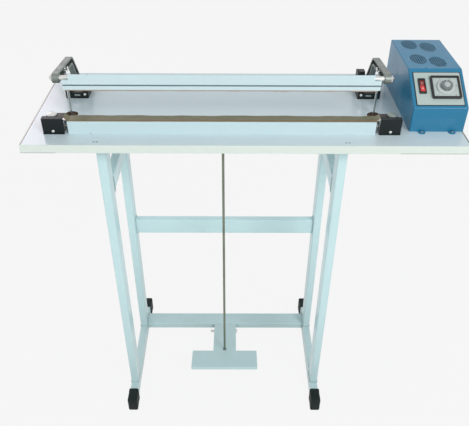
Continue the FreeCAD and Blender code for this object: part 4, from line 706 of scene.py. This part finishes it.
cover_low, cover_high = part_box("cover_screws")
cover_x = (cover_low.x + head_radius, cover_high.x - head_radius)
screws("cover_screw_heads", [(x, cover_low.y + head_tall, (cover_low.z + cover_high.z) / 2) for x in cover_x],
       (0, -1, 0), replaces=["cover_screws"])
foot_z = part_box("box_screws")[1].z - head_tall
screws("box_screw_heads", [(x, y, foot_z) for x, y in corners_of("box_screws", head_radius)],
       (0, 0, 1), metal=dull_zinc, replaces=["box_screws"])
floor_low, floor_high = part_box("housing_screws")
screw_pitch = 0.028
outer_x = (floor_low.x + head_radius, floor_high.x - head_radius)
housing_x = (outer_x[0], outer_x[0] + screw_pitch, outer_x[1] - screw_pitch, outer_x[1])
screws("housing_screw_heads", [
    (x, (floor_low.y + floor_high.y) / 2, floor_high.z - head_tall) for x in housing_x],
    (0, 0, 1), replaces=["housing_screws"])

# %% [markdown]
# The front wall of each arm housing has one more screw, near its inner end, beside a small
# bare plate. In front of the jaw, two pairs of small screws end flush with the table, and
# a single one stands at each end of the jaw's foot.

# %% Small screws and bare plates
sides = (("left", -1), ("right", 1))
table_top = board_high.z
stand_x = -0.048
wall_screw_x, wall_screw_rise, wall_head_tall = 0.311, 0.0095, 0.0022
bare_size, bare_ahead, bare_rise = Vector((0.013, 0.0008, 0.0042)), 0.017, 0.0082
for side, sign in sides:
    wall_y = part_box("pivot_housing_" + side)[0].y
    inner = stand_x + sign * wall_screw_x
    screws("wall_screw_" + side, [(inner, wall_y, table_top + wall_screw_rise)], (0, -1, 0.15),
           tall=wall_head_tall)
    plate = block(bare_size)
    soften(plate, plate.edges[:], 0.0003, 2)
    bmesh.ops.translate(plate, vec=(inner + sign * bare_ahead, wall_y - bare_size.y / 2,
                                    table_top + bare_rise), verts=plate.verts)
    piece("wall_plate_" + side, plate, grey_plastic)

jaw_low, jaw_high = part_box("lower_jaw_beam")
table_screw_places = ((-0.2563, 0.0125), (-0.2500, 0.0125), (0.2488, 0.011), (0.2554, 0.011))
table_screw_sunk, jaw_foot_x, jaw_foot_rise = 0.0007, (-0.268, 0.264), 0.0026
screws("table_screws", [(stand_x + x, board_low.y + y, table_top - table_screw_sunk)
                        for x, y in table_screw_places], (0, 0, 1), 0.0021, 0.0013, blued_steel)
screws("jaw_foot_screws", [(stand_x + x, jaw_low.y, table_top + jaw_foot_rise) for x in jaw_foot_x],
       (0, -1, 0), 0.0018, 0.0012)


# %% [markdown]
# A spring that joins a fixed pin to a moving one has to stretch. The same sweep, run along
# other paths, makes weld beads and short leads.

# %% Sweep a round section along a path
def swept(path, radius, ring_sides=8, lumps=0.0, closed=False):
    """A tube of rings. Each ring keeps the heading of the ring before it, so none twists."""
    shape = bmesh.new()
    rings = []
    heading = None
    count = len(path)
    for index, point in enumerate(path):
        after = path[(index + 1) % count] if closed or index + 1 < count else point
        before = path[index - 1] if closed or index else point
        way = (Vector(after) - Vector(before)).normalized()
        heading = (heading - way * heading.dot(way) if heading else way.orthogonal()).normalized()
        turn_to = Matrix((heading, way.cross(heading), way)).transposed().to_4x4()
        swell = radius * (1 + lumps * math.sin(index * 2.1) + lumps * 0.5 * math.sin(index * 5.3))
        made = bmesh.ops.create_circle(shape, segments=ring_sides, radius=swell,
                                       matrix=Matrix.Translation(point) @ turn_to)
        rings.append(list(dict.fromkeys(edge for vert in made["verts"] for edge in vert.link_edges)))
    pairs = list(zip(rings, rings[1:])) + ([(rings[-1], rings[0])] if closed else [])
    for first, second in pairs:
        bmesh.ops.bridge_loops(shape, edges=first + second)
    if not closed:
        bmesh.ops.holes_fill(shape, edges=shape.edges[:], sides=ring_sides)
    bmesh.ops.recalc_face_normals(shape, faces=shape.faces)
    return shape


# %% [markdown]
# Each coil has seven turns, and its wire leads in from a pin at one end and out to a pin at
# the other, so the path starts and ends on the coil's axis.

# %% Return springs
wire, coil_turns, turn_steps = 0.0008, 7, 14
hook, hook_rise, hook_lean = 0.0065, 0.002, 0.6
for side, _ in sides:
    low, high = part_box("return_spring_" + side)
    middle = (low + high) / 2
    coil_radius = (high.x - low.x) / 2 - wire
    tail = low.z + hook
    coil_tall = high.z - low.z - 2 * hook
    lead_y = middle.y + coil_radius * hook_lean
    path = [(middle.x, middle.y, low.z + wire * 2), (middle.x, lead_y, tail - hook_rise)]
    for step in range(coil_turns * turn_steps + 1):
        angle = math.tau * step / turn_steps + math.pi / 2
        path.append((middle.x + coil_radius * math.cos(angle), middle.y + coil_radius * math.sin(angle),
                     tail + coil_tall * step / (coil_turns * turn_steps)))
    path += [(middle.x, lead_y, high.z - hook + hook_rise), (middle.x, middle.y, high.z - wire * 2)]
    spring = piece("coil_spring_" + side, swept(path, wire), zinc_plate, body=None,
                   replaces=["return_spring_" + side])
    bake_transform(spring)


# %% [markdown]
# The stand is welded. A bead runs round each joint, lumpy where the welder paused, and the
# enamel covers it. Each bead is a sweep round a rectangle, pressed a little into the tubes.
# Two sines of different pace make the lumps, so that no two neighbours are alike.

# %% Weld beads
X, Y, Z = range(3)
bead, bead_step, bead_lumps, bead_pressed = 0.0016, 0.004, 0.22, 0.0004


def rectangle_path(axis, at, low, high):
    """Evenly spaced points round a rectangle that lies across an axis."""
    first, second = [other for other in (X, Y, Z) if other != axis]
    corners = [(low[first], low[second]), (high[first], low[second]),
               (high[first], high[second]), (low[first], high[second])]
    points = []
    for start, end in zip(corners, corners[1:] + corners[:1]):
        length = math.dist(start, end)
        for step in range(max(1, round(length / bead_step))):
            share = step * bead_step / length
            point = Vector((at, at, at))
            point[first] = start[0] + (end[0] - start[0]) * share
            point[second] = start[1] + (end[1] - start[1]) * share
            points.append(point)
    return points


def weld_ends(part, axis, *names):
    """A bead round each end of a tube, the lower end's first."""
    low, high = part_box(part)
    for name, at in zip(names, (low[axis] + bead_pressed, high[axis] - bead_pressed)):
        shape = swept(rectangle_path(axis, at, low, high), bead, 6, bead_lumps, closed=True)
        piece(name, shape, weld_enamel, sharp=80)


for side, _ in sides:
    for end in ("front", "rear"):
        weld_ends(f"{end}_leg_{side}", Z, f"weld_foot_{end}_{side}", f"weld_head_{end}_{side}")
    weld_ends(f"side_rail_{side}", Y, f"weld_rail_front_{side}", f"weld_rail_rear_{side}")
for bar in ("upper_crossbar", "lower_crossbar"):
    weld_ends(bar, X, f"weld_{bar}_left", f"weld_{bar}_right")


# %% [markdown]
# Four moulded caps close the ends of the base tubes and are the feet. Each is a block with
# soft corners; the side that takes the tube is inset and pushed in to make the socket, and
# a shallow band round the open end shows where the mould parted.

# %% Foot caps
caps_low, caps_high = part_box("foot_caps")
cap_size = Vector((0.026, 0.039, caps_high.z - caps_low.z))
cap_wall, cap_corner, socket = 0.003, 0.0042, 0.036
band_near, band_far, outer_share = 0.010, 0.0115, 0.47


def foot_cap():
    """One cap about the origin, whose open end looks along +Y."""
    shape = block(cap_size)
    soften(shape, [edge for edge in shape.edges if any(vert.co.y < 0 for vert in edge.verts)],
           cap_corner, 4)
    mouth = [max(shape.faces, key=lambda face: face.calc_center_median().y)]
    bmesh.ops.inset_region(shape, faces=mouth, thickness=cap_wall, depth=0)
    moved_faces(shape, mouth, (0, -socket, 0), leave_floor=False)
    for offset in (band_near, band_far):
        cut_across(shape, (0, offset, 0), (0, 1, 0))
    band = [vert for vert in shape.verts if abs(vert.co.y - band_near) < 1e-5
            and max(abs(vert.co.x) / cap_size.x, abs(vert.co.z) / cap_size.z) > outer_share]
    bmesh.ops.scale(shape, vec=(0.97, 1, 0.98), verts=band)
    return shape


cap_x = (caps_low.x + cap_size.x / 2, caps_high.x - cap_size.x / 2)
cap_z = (caps_low.z + caps_high.z) / 2
cap_places = [Matrix.Translation((x, caps_low.y + cap_size.y / 2, cap_z)) for x in cap_x]
cap_places += [Matrix.Translation((x, caps_high.y - cap_size.y / 2, cap_z)) @ Matrix.Rotation(
    math.pi, 4, "Z") for x in cap_x]
piece("moulded_feet", copied(foot_cap(), cap_places), foot_rubber,
      replaces=["foot_caps"])


# %% [markdown]
# A thumb nut clamps the ribbon's tension at each end of the jaw: a fluted black grip with a
# round cap pressed into it, white on the left and, on the right, the same cap painted grey as shade.

# %% Thumb nuts
nuts_low, nuts_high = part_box("cap_nuts")
nut_radius, nut_tall, nut_grip_tall = 0.011, 0.006, 0.0036
nut_y = nuts_low.y + nut_radius
nut_base = nuts_high.z - nut_tall


def fluted(radius, low, high, flutes, depth):
    """A round grip whose side dips in at each flute."""
    shape = bmesh.new()
    bmesh.ops.create_cone(shape, cap_ends=True, segments=flutes * 4, radius1=radius,
                          radius2=radius, depth=high - low)
    bmesh.ops.translate(shape, vec=(0, 0, (high + low) / 2), verts=shape.verts)
    for vert in shape.verts:
        angle = math.atan2(vert.co.y, vert.co.x)
        pull = 1 - depth * max(0.0, math.cos(angle * flutes))
        vert.co.x *= pull
        vert.co.y *= pull
    rims = [edge for edge in shape.edges if abs(edge.verts[0].co.z - edge.verts[1].co.z) < 1e-6]
    soften(shape, rims, (high - low) * 0.09, 2)
    return shape


# The right cap's grey is painted shade on a cap like the left one.
for side, x, cap_lit_or_shaded in (("left", nuts_low.x + nut_radius, white_plastic),
                     ("right", nuts_high.x - nut_radius, grey_plastic)):
    on_block = [Matrix.Translation((x, nut_y, nut_base))]
    grip = fluted(nut_radius, 0, nut_grip_tall, 14, 0.05)
    piece("nut_grip_" + side, copied(grip, on_block), black_plastic,
          replaces=["cap_nuts"])
    dome = turned([(0, nut_tall), (nut_radius * 0.72, 0.0058), (nut_radius * 0.9, 0.0052),
                   (nut_radius * 0.96, 0.0042), (nut_radius * 0.96, 0.0034), (0, 0.0034)], 36)
    piece("nut_cap_" + side, copied(dome, on_block), cap_lit_or_shaded, replaces=["cap_nuts"])


# %% [markdown]
# From each terminal block a stiff black lead bends over to the screw that clamps the
# heating ribbon. It is too short and stiff to hang, so its path is a smooth curve through
# four places, and the springs' sweep gives it its thickness.

# %% Ribbon leads
lead_radius, lead_steps = 0.0011, 9


def smooth_path(places):
    """Points along a Catmull-Rom curve through the given places."""
    ends = [places[0] * 2 - places[1], *places, places[-1] * 2 - places[-2]]
    points = []
    for one, two, three, four in zip(ends, ends[1:], ends[2:], ends[3:]):
        for step in range(lead_steps):
            t = step / lead_steps
            points.append((two * 2 + (three - one) * t + (one * 2 - two * 5 + three * 4 - four) * t ** 2
                           + (two * 3 - one - three * 3 + four) * t ** 3) / 2)
    return points + [places[-1]]


for side, sign in sides:
    block_low, block_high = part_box("terminal_block_" + side)
    cheek = block_low.x if sign > 0 else block_high.x
    edge = jaw_high.x if sign > 0 else jaw_low.x
    gap_middle = (cheek + edge) / 2
    lead = [Vector((cheek + sign * 0.002, block_low.y + 0.016, block_high.z + 0.0008)),
            Vector((cheek - sign * 0.004, block_low.y + 0.008, block_high.z + 0.0012)),
            Vector((gap_middle, block_low.y - 0.0005, block_high.z - 0.006)),
            Vector((gap_middle, block_low.y + 0.0030, block_high.z - 0.0155))]
    piece("ribbon_lead_" + side, swept(smooth_path(lead), lead_radius), black_plastic)


# %% [markdown]
# The coated cloth is a strip held down along the jaw, so it is modelled as a grid and not
# simulated: flat over the ribbon, its back edge a little wavy, its two ends curled up where
# the heat has shrunk the coating.

# %% Coated cloth
strip_length = cloth_high.x - cloth_low.x
strip_wide = cloth_high.y - cloth_low.y
cloth_thick, cloth_inset = 0.0004, 0.0004
curl_reach, curl_rise, curl_inward = 0.009, 0.0063, 0.0018
back_lift, back_wave, cloth_play = 0.0005, 0.0004, 0.0012
waves = ((62, 0, 0.5), (149, 1, 0.3), (23, 0, 0.4))
strip_floor = cloth_low.z + cloth_thick

cloth_shape = bmesh.new()
bmesh.ops.create_grid(cloth_shape, x_segments=160, y_segments=8, size=0.5)
for vert in cloth_shape.verts:
    across_strip = vert.co.y + 0.5
    along = vert.co.x * strip_length
    ripple = sum(math.sin(along * rate + start) * share for rate, start, share in waves)
    into_curl = max(0.0, abs(along) - (strip_length / 2 - curl_reach)) / curl_reach
    height = strip_floor + curl_rise * into_curl ** 1.6
    height += across_strip ** 3 * back_lift * (1 + ripple) * (1 - into_curl)
    inward = curl_inward * into_curl ** 2 * (2 * across_strip - 1)
    vert.co = (along + (cloth_low.x + cloth_high.x) / 2,
               cloth_low.y + cloth_inset + (strip_wide - cloth_play) * across_strip
               + back_wave * ripple * across_strip - inward, height)
bmesh.ops.recalc_face_normals(cloth_shape, faces=cloth_shape.faces)
cloth_strip = piece("cloth_strip", cloth_shape, cloth_brown,
                    replaces=["cover_cloth"], sharp=60)
thicken = cloth_strip.modifiers.new("thickness", "SOLIDIFY")
thicken.thickness = cloth_thick
thicken.offset = -1

# %% [markdown]
# The silicone strip under the upper jaw is cut from a roll, so its lower edge isn't quite
# straight. A long block is divided along its length, and only its lower corners wander.

# %% Silicone strip
strip_low, strip_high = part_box("pressure_rubber")
edge_rise, edge_sway, edge_cuts = 0.0004, 0.0003, 120


def edges_along(shape, axis, least):
    """The edges whose two ends lie more than so far apart along an axis."""
    return [edge for edge in shape.edges
            if abs(edge.verts[0].co[axis] - edge.verts[1].co[axis]) > least]


rubber = block(strip_high - strip_low)
bmesh.ops.translate(rubber, vec=(strip_low + strip_high) / 2, verts=rubber.verts)
soften(rubber, edges_along(rubber, X, 0.1), 0.0008, 2)
bmesh.ops.subdivide_edges(rubber, edges=edges_along(rubber, X, 0.1), cuts=edge_cuts, use_grid_fill=True)
for vert in rubber.verts:
    low_share = 1 - (vert.co.z - strip_low.z) / (strip_high.z - strip_low.z)
    wander = math.sin(vert.co.x * 71) * 0.6 + math.sin(vert.co.x * 127 + 2) * 0.4
    vert.co.z += edge_rise * (wander + 1) * low_share
    vert.co.y += edge_sway * wander * low_share
piece("rubber_strip", rubber, strip_rubber, body="upper_jaw",
      replaces=["pressure_rubber"])


# %% [markdown]
# The dial is built flat about its own axis and then laid on the slope: a pale skirt, a grey
# fluted grip and a lighter turned cap with a white pointer. Each is a piece that rides on
# the dial's body, so the pointer turns with the grip.

# %% Dial
dial_joint = next(joint for joint in frame["joints"] if joint["name"] == "timer_turn")
dial_middle = on_plate.inverted() @ Vector(dial_joint["pos_m"])
knob_floor = plate_top + 0.0028
on_dial = on_plate @ Matrix.Translation((dial_middle.x, dial_middle.y, knob_floor))
skirt_radius, grip_radius, dial_tall = 0.0185, 0.0120, 0.011


def dial_piece(name, shape, material):
    piece(name, copied(shape, [on_dial]), material, body="dial",
          replaces=["timer_knob"])


skirt_plastic = finish("skirt_plastic", plastic((0.56, 0.62, 0.60), 0.14), Coat_Weight=0.6)
cap_grey = finish("cap_grey", plastic((0.42, 0.47, 0.46), 0.2), Coat_Weight=0.5)
skirt = turned([(0, 0.0034), (grip_radius, 0.0036), (skirt_radius - 0.0028, 0.0038),
                (skirt_radius - 0.0008, 0.0033), (skirt_radius, 0.0022), (skirt_radius, 0),
                (skirt_radius - 0.0014, 0), (skirt_radius - 0.0022, 0.0016), (0, 0.0018)], 56)
dial_piece("dial_skirt", skirt, skirt_plastic)
dial_piece("dial_grip", fluted(grip_radius, 0.0033, dial_tall - 0.0008, 12, 0.07), knob_grey)
turned_cap = turned([(0, dial_tall - 0.0003), (0.0052, dial_tall), (0.0060, dial_tall - 0.0005),
                     (0.0062, dial_tall - 0.0012), (0.0062, dial_tall - 0.002),
                     (0, dial_tall - 0.002)], 40)
dial_piece("dial_cap", turned_cap, cap_grey)
pointer = block((0.0009, 0.0034, 0.0004))
bmesh.ops.translate(pointer, vec=(0, grip_radius - 0.0032, dial_tall - 0.0007), verts=pointer.verts)
dial_piece("dial_pointer", pointer, white_plastic)
print("dial axis at", [round(value, 4) for value in on_dial.translation])

# %% [markdown]
# The timer is a black case behind the panel, with a frame in front that is a little wider
# than it is tall. The frame could be four bars, but then its corners would show joints, so
# it is one block: soft corners first, and then the front is inset and sunk for the face.

# %% Timer bezel
bezel_size, bezel_corner, bezel_bar = Vector((0.0590, 0.0535, 0.0052)), 0.0022, 0.0040
case_size = Vector((0.046, 0.046, 0.044))
bezel_slant, bezel_crown, face_sunk, bezel_up = 0.0006, 0.0005, 0.0032, 0.0004

bezel = block(bezel_size)
soften(bezel, edges_along(bezel, Z, 1e-4), bezel_corner, 4)
front = [max(bezel.faces, key=lambda face: face.calc_center_median().z)]
for border, rise in ((bezel_slant, bezel_crown), (bezel_bar - 2 * bezel_slant, 0),
                     (bezel_slant, -face_sunk)):
    bmesh.ops.inset_region(bezel, faces=front, thickness=border, depth=0)
    bmesh.ops.translate(bezel, vec=(0, 0, rise), verts=front[0].verts[:])
case = bmesh.ops.create_cube(bezel, size=1)["verts"]
bmesh.ops.scale(bezel, vec=case_size, verts=case)
bmesh.ops.translate(bezel, vec=(0, 0, -(case_size.z + bezel_size.z) / 2), verts=case)
on_bezel = on_plate @ Matrix.Translation((dial_middle.x, dial_middle.y + bezel_up,
                                          plate_top + bezel_size.z / 2))
piece("timer_bezel", copied(bezel, [on_bezel]), black_plastic,
      replaces=["timer_unit"])

# %% [markdown]
# The scale is a pale card in the frame with printed ticks. Twenty-one thin slips, turned
# about the dial's axis, stand for the print, so that they stay crisp from near by.

# %% Dial card and ticks
face_floor, card_thick, card_margin = plate_top + 0.0025, 0.0003, 0.0038
on_face = on_plate @ Matrix.Translation((dial_middle.x, dial_middle.y, face_floor))
card = bmesh.new()
bmesh.ops.create_grid(card, x_segments=1, y_segments=1, size=1)
bmesh.ops.scale(card, vec=(bezel_size.x / 2 - card_margin, bezel_size.y / 2 - card_margin, 1),
                verts=card.verts)
moved_faces(card, card.faces[:], (0, 0, card_thick))
bmesh.ops.recalc_face_normals(card, faces=card.faces)
card_white = finish("card_white", plastic((0.52, 0.59, 0.56), 0.4))
piece("dial_card", copied(card, [on_face]), card_white)

ticks = bmesh.new()
sweep, tick_reach, print_rise = math.radians(270), 0.0202, 0.0004
tick_wide, long_tick, short_tick, tick_thick = 0.0005, 0.0016, 0.0009, 0.0002
for index in range(21):
    angle = -sweep / 2 + sweep * index / 20
    made = bmesh.ops.create_cube(ticks, size=1)["verts"]
    bmesh.ops.scale(ticks, vec=(tick_wide, short_tick if index % 2 else long_tick, tick_thick), verts=made)
    bmesh.ops.translate(ticks, vec=(0, tick_reach, print_rise), verts=made)
    bmesh.ops.rotate(ticks, cent=(0, 0, 0), matrix=Matrix.Rotation(-angle, 3, "Z"), verts=made)
piece("dial_ticks", copied(ticks, [on_face]), black_plastic)


# %% [markdown]
# The numbers 0 to 10 are text, made a mesh before it is laid in its place. The two at the
# top move in toward the dial, and none comes nearer to the frame than a set reach.

# %% Dial numbers
digit_tall, digit_thick = 0.0034, 0.0001
digit_reach, top_reach, frame_reach = 0.0262, 0.0232, 0.0225


def number(count, place):
    name = f"dial_number_{count}"
    letters = bpy.data.curves.new(name, "FONT")
    letters.body, letters.size, letters.extrude = str(count), digit_tall, digit_thick
    letters.align_x, letters.align_y = "CENTER", "CENTER"
    letters.resolution_u = 3
    holder = bpy.data.objects.new(name + "_text", letters)
    bpy.context.scene.collection.objects.link(holder)
    bpy.context.view_layer.update()
    flat_text = bpy.data.meshes.new_from_object(holder)
    bpy.data.objects.remove(holder)
    shape = bmesh.new()
    shape.from_mesh(flat_text)
    bmesh.ops.transform(shape, matrix=place, verts=shape.verts)
    piece(name, shape, black_plastic)


for count in (0, 2, 4, 6, 8, 10):
    angle = -sweep / 2 + sweep * count / 10
    reach = min(top_reach if count in (4, 6) else digit_reach,
                frame_reach / max(abs(math.sin(angle)), abs(math.cos(angle))))
    place = Matrix.Translation((reach * math.sin(angle), reach * math.cos(angle), print_rise))
    number(count, on_face @ place)


# %% [markdown]
# The mains rocker sits in a black bezel with soft corners. The bezel starts as a block: its
# front is inset and pushed in for the well, its back is inset and pulled out for the case.

# %% Rocker bezel
rocker_joint = next(joint for joint in frame["joints"] if joint["name"] == "rocker_tip")
hinge = on_plate.inverted() @ Vector(rocker_joint["pos_m"])
hinge.x = (on_plate.inverted() @ rocker_middle).x
rocker_size = Vector((0.0146, 0.0365, 0.0028))
well_half, case_half = Vector((0.0051, 0.0142)), Vector((0.0060, 0.0150))
well_deep, case_deep = 0.009, 0.020


def pocket(shape, face, half, depth):
    """Inset a rectangle in a face, give it its half sizes, and push it in or pull it out."""
    bmesh.ops.inset_region(shape, faces=[face], thickness=0.0010, depth=0)
    reach = Vector((max(vert.co.x for vert in face.verts), max(vert.co.y for vert in face.verts)))
    bmesh.ops.scale(shape, vec=(half.x / reach.x, half.y / reach.y, 1), verts=face.verts)
    bmesh.ops.inset_region(shape, faces=[face], thickness=0.0001, depth=0)
    bmesh.ops.translate(shape, vec=(0, 0, -depth), verts=face.verts)


socket_shape = block(rocker_size)
soften(socket_shape, edges_along(socket_shape, Z, 1e-4), 0.0012, 4)
soften(socket_shape, [edge for edge in socket_shape.edges if all(vert.co.z > 0 for vert in edge.verts)],
       0.0005, 3)
flat_faces = sorted(socket_shape.faces, key=lambda face: face.calc_center_median().z)
back_face, front_face = flat_faces[0], flat_faces[-1]
pocket(socket_shape, front_face, well_half, well_deep)
pocket(socket_shape, back_face, case_half, case_deep)
on_socket = on_plate @ Matrix.Translation((hinge.x, hinge.y, plate_top + rocker_size.z / 2))
piece("rocker_bezel", copied(socket_shape, [on_socket]), black_plastic,
      replaces=["rocker_switch"])

# %% [markdown]
# The button is a shallow V seen from the side, drawn about its hinge and pulled out to its
# width. It carries the two plain marks that such switches have, a bar for on and a ring for
# off: thin slips of white that ride on the button's own body.

# %% Rocker button and marks
button_half, button_wide = 0.0133, 0.0096
valley, high_end, low_end = 0.0020, 0.0042, 0.0028
button_side = [(-button_half, 0.0005), (-button_half, high_end), (0, valley), (button_half, low_end),
               (button_half, -0.0008), (0.0025, -0.0040), (-0.0025, -0.0040)]
button = bmesh.new()
side_face = button.faces.new([button.verts.new((-button_wide / 2, y, z)) for y, z in button_side])
moved_faces(button, [side_face], (button_wide, 0, 0))
bmesh.ops.recalc_face_normals(button, faces=button.faces)
soften(button, [edge for edge in button.edges if all(vert.co.z > 0.001 for vert in edge.verts)],
       0.0006, 3)
on_hinge = on_plate @ Matrix.Translation(hinge)
piece("rocker_paddle", copied(button, [on_hinge]), signal_red, body="rocker",
      replaces=["rocker_button"])


def on_button(y, end):
    """A placement on the upper or the lower half of the button's face."""
    rise = (end - valley) / button_half
    turn = Matrix.Rotation(math.atan(rise) * math.copysign(1, y), 4, "X")
    return on_hinge @ Matrix.Translation((0, y, valley + rise * abs(y))) @ turn


mark_y = 0.0066
bar = block((0.0008, 0.0034, 0.0003))
ring = turned([(0.0012, 0), (0.0019, 0), (0.0019, 0.0002), (0.0012, 0.0002), (0.0012, 0)])
for name, mark, seat in (("mark_on", bar, on_button(mark_y, low_end)),
                         ("mark_off", ring, on_button(-mark_y, high_end))):
    piece(name, copied(mark, [seat]), white_plastic, body="rocker")

# %% [markdown]
# The floor is a large pale sheet. To the camera it is an even pale grey, by way of Light
# Path, with part of its shading left in so that the feet keep their shadow. Mirrors and
# glass see the same grey, so that metal shows the studio and not a dark void.

# %% Floor and world
backdrop_grey, backdrop_share = (0.93, 0.93, 0.93, 1), 0.96
floor_shape = bmesh.new()
bmesh.ops.create_grid(floor_shape, x_segments=1, y_segments=1, size=30)
floor_mesh = bpy.data.meshes.new("floor")
floor_shape.to_mesh(floor_mesh)
floor_shape.free()
floor = bpy.data.objects.new("floor", floor_mesh)
bpy.context.scene.collection.objects.link(floor)
print("floor reaches", round(floor.dimensions.x / 2), "m each way")


def seen_or_mirrored(tree):
    """1 for what the camera, a mirror or a glass sees, and 0 for what lights the scene."""
    rays = tree.nodes.new("ShaderNodeLightPath")
    kinds = [Wire(tree, rays.outputs[f"Is {kind} Ray"]) for kind in ("Camera", "Glossy", "Transmission")]
    return kinds[0].maths("MINIMUM", kinds[0] + kinds[1] + kinds[2], 1)


def mixed_output(tree, share, lighting, shown, kind):
    mixer = share.node("ShaderNodeMixShader", (), {0: share, 1: lighting, 2: shown})
    output = tree.nodes.new(kind)
    tree.links.new(mixer.socket, output.inputs[0])


def emitter(tree, kind, colour, strength):
    made = tree.nodes.new(kind)
    made.inputs[0].default_value = colour
    made.inputs[1].default_value = strength
    return Wire(tree, made.outputs[0])


ground = bpy.data.materials.new("ground")
tree = bare_tree(ground)
matt = emitter(tree, "ShaderNodeBsdfDiffuse", (0.80, 0.80, 0.80, 1), 0)
glow = emitter(tree, "ShaderNodeEmission", backdrop_grey, 1)
mixed_output(tree, seen_or_mirrored(tree) * backdrop_share, matt, glow, "ShaderNodeOutputMaterial")
floor.data.materials.append(ground)

world = bpy.data.worlds.new("studio")
bpy.context.scene.world = world
tree = bare_tree(world)
soft = emitter(tree, "ShaderNodeBackground", (0.92, 0.97, 1.0, 1), 0.55)
plain = emitter(tree, "ShaderNodeBackground", backdrop_grey, 1)
mixed_output(tree, seen_or_mirrored(tree), soft, plain, "ShaderNodeOutputWorld")


# %% [markdown]
# Three round lamps light the sealer. The key stands in front on the right, a weak fill on
# the left opens the shadows, and a small rosy lamp behind puts its glance on the table's
# left end.

# %% Lamps
def lamp(name, place, aim, size, power, tint=(1, 1, 1)):
    light = bpy.data.lights.new(name, "AREA")
    light.shape, light.size, light.energy, light.color = "DISK", size, power, tint
    holder = bpy.data.objects.new(name, light)
    way = Vector(aim) - Vector(place)
    holder.matrix_world = Matrix.Translation(place) @ way.to_track_quat("-Z", "Y").to_matrix().to_4x4()
    bpy.context.scene.collection.objects.link(holder)
    print(name, "lamp,", power, "W,", round(way.length, 2), "m away")


lamp("key", (1.6, -2.6, 2.7), (0, 0, 0.6), 1.6, 62)
lamp("fill", (-2.2, -1.8, 1.8), (0, 0, 0.5), 2.2, 16)
lamp("back", (-1.75, 2.4, 2.1), (-0.3, 0, 0.8), 1.2, 11, (1, 0.82, 0.88))
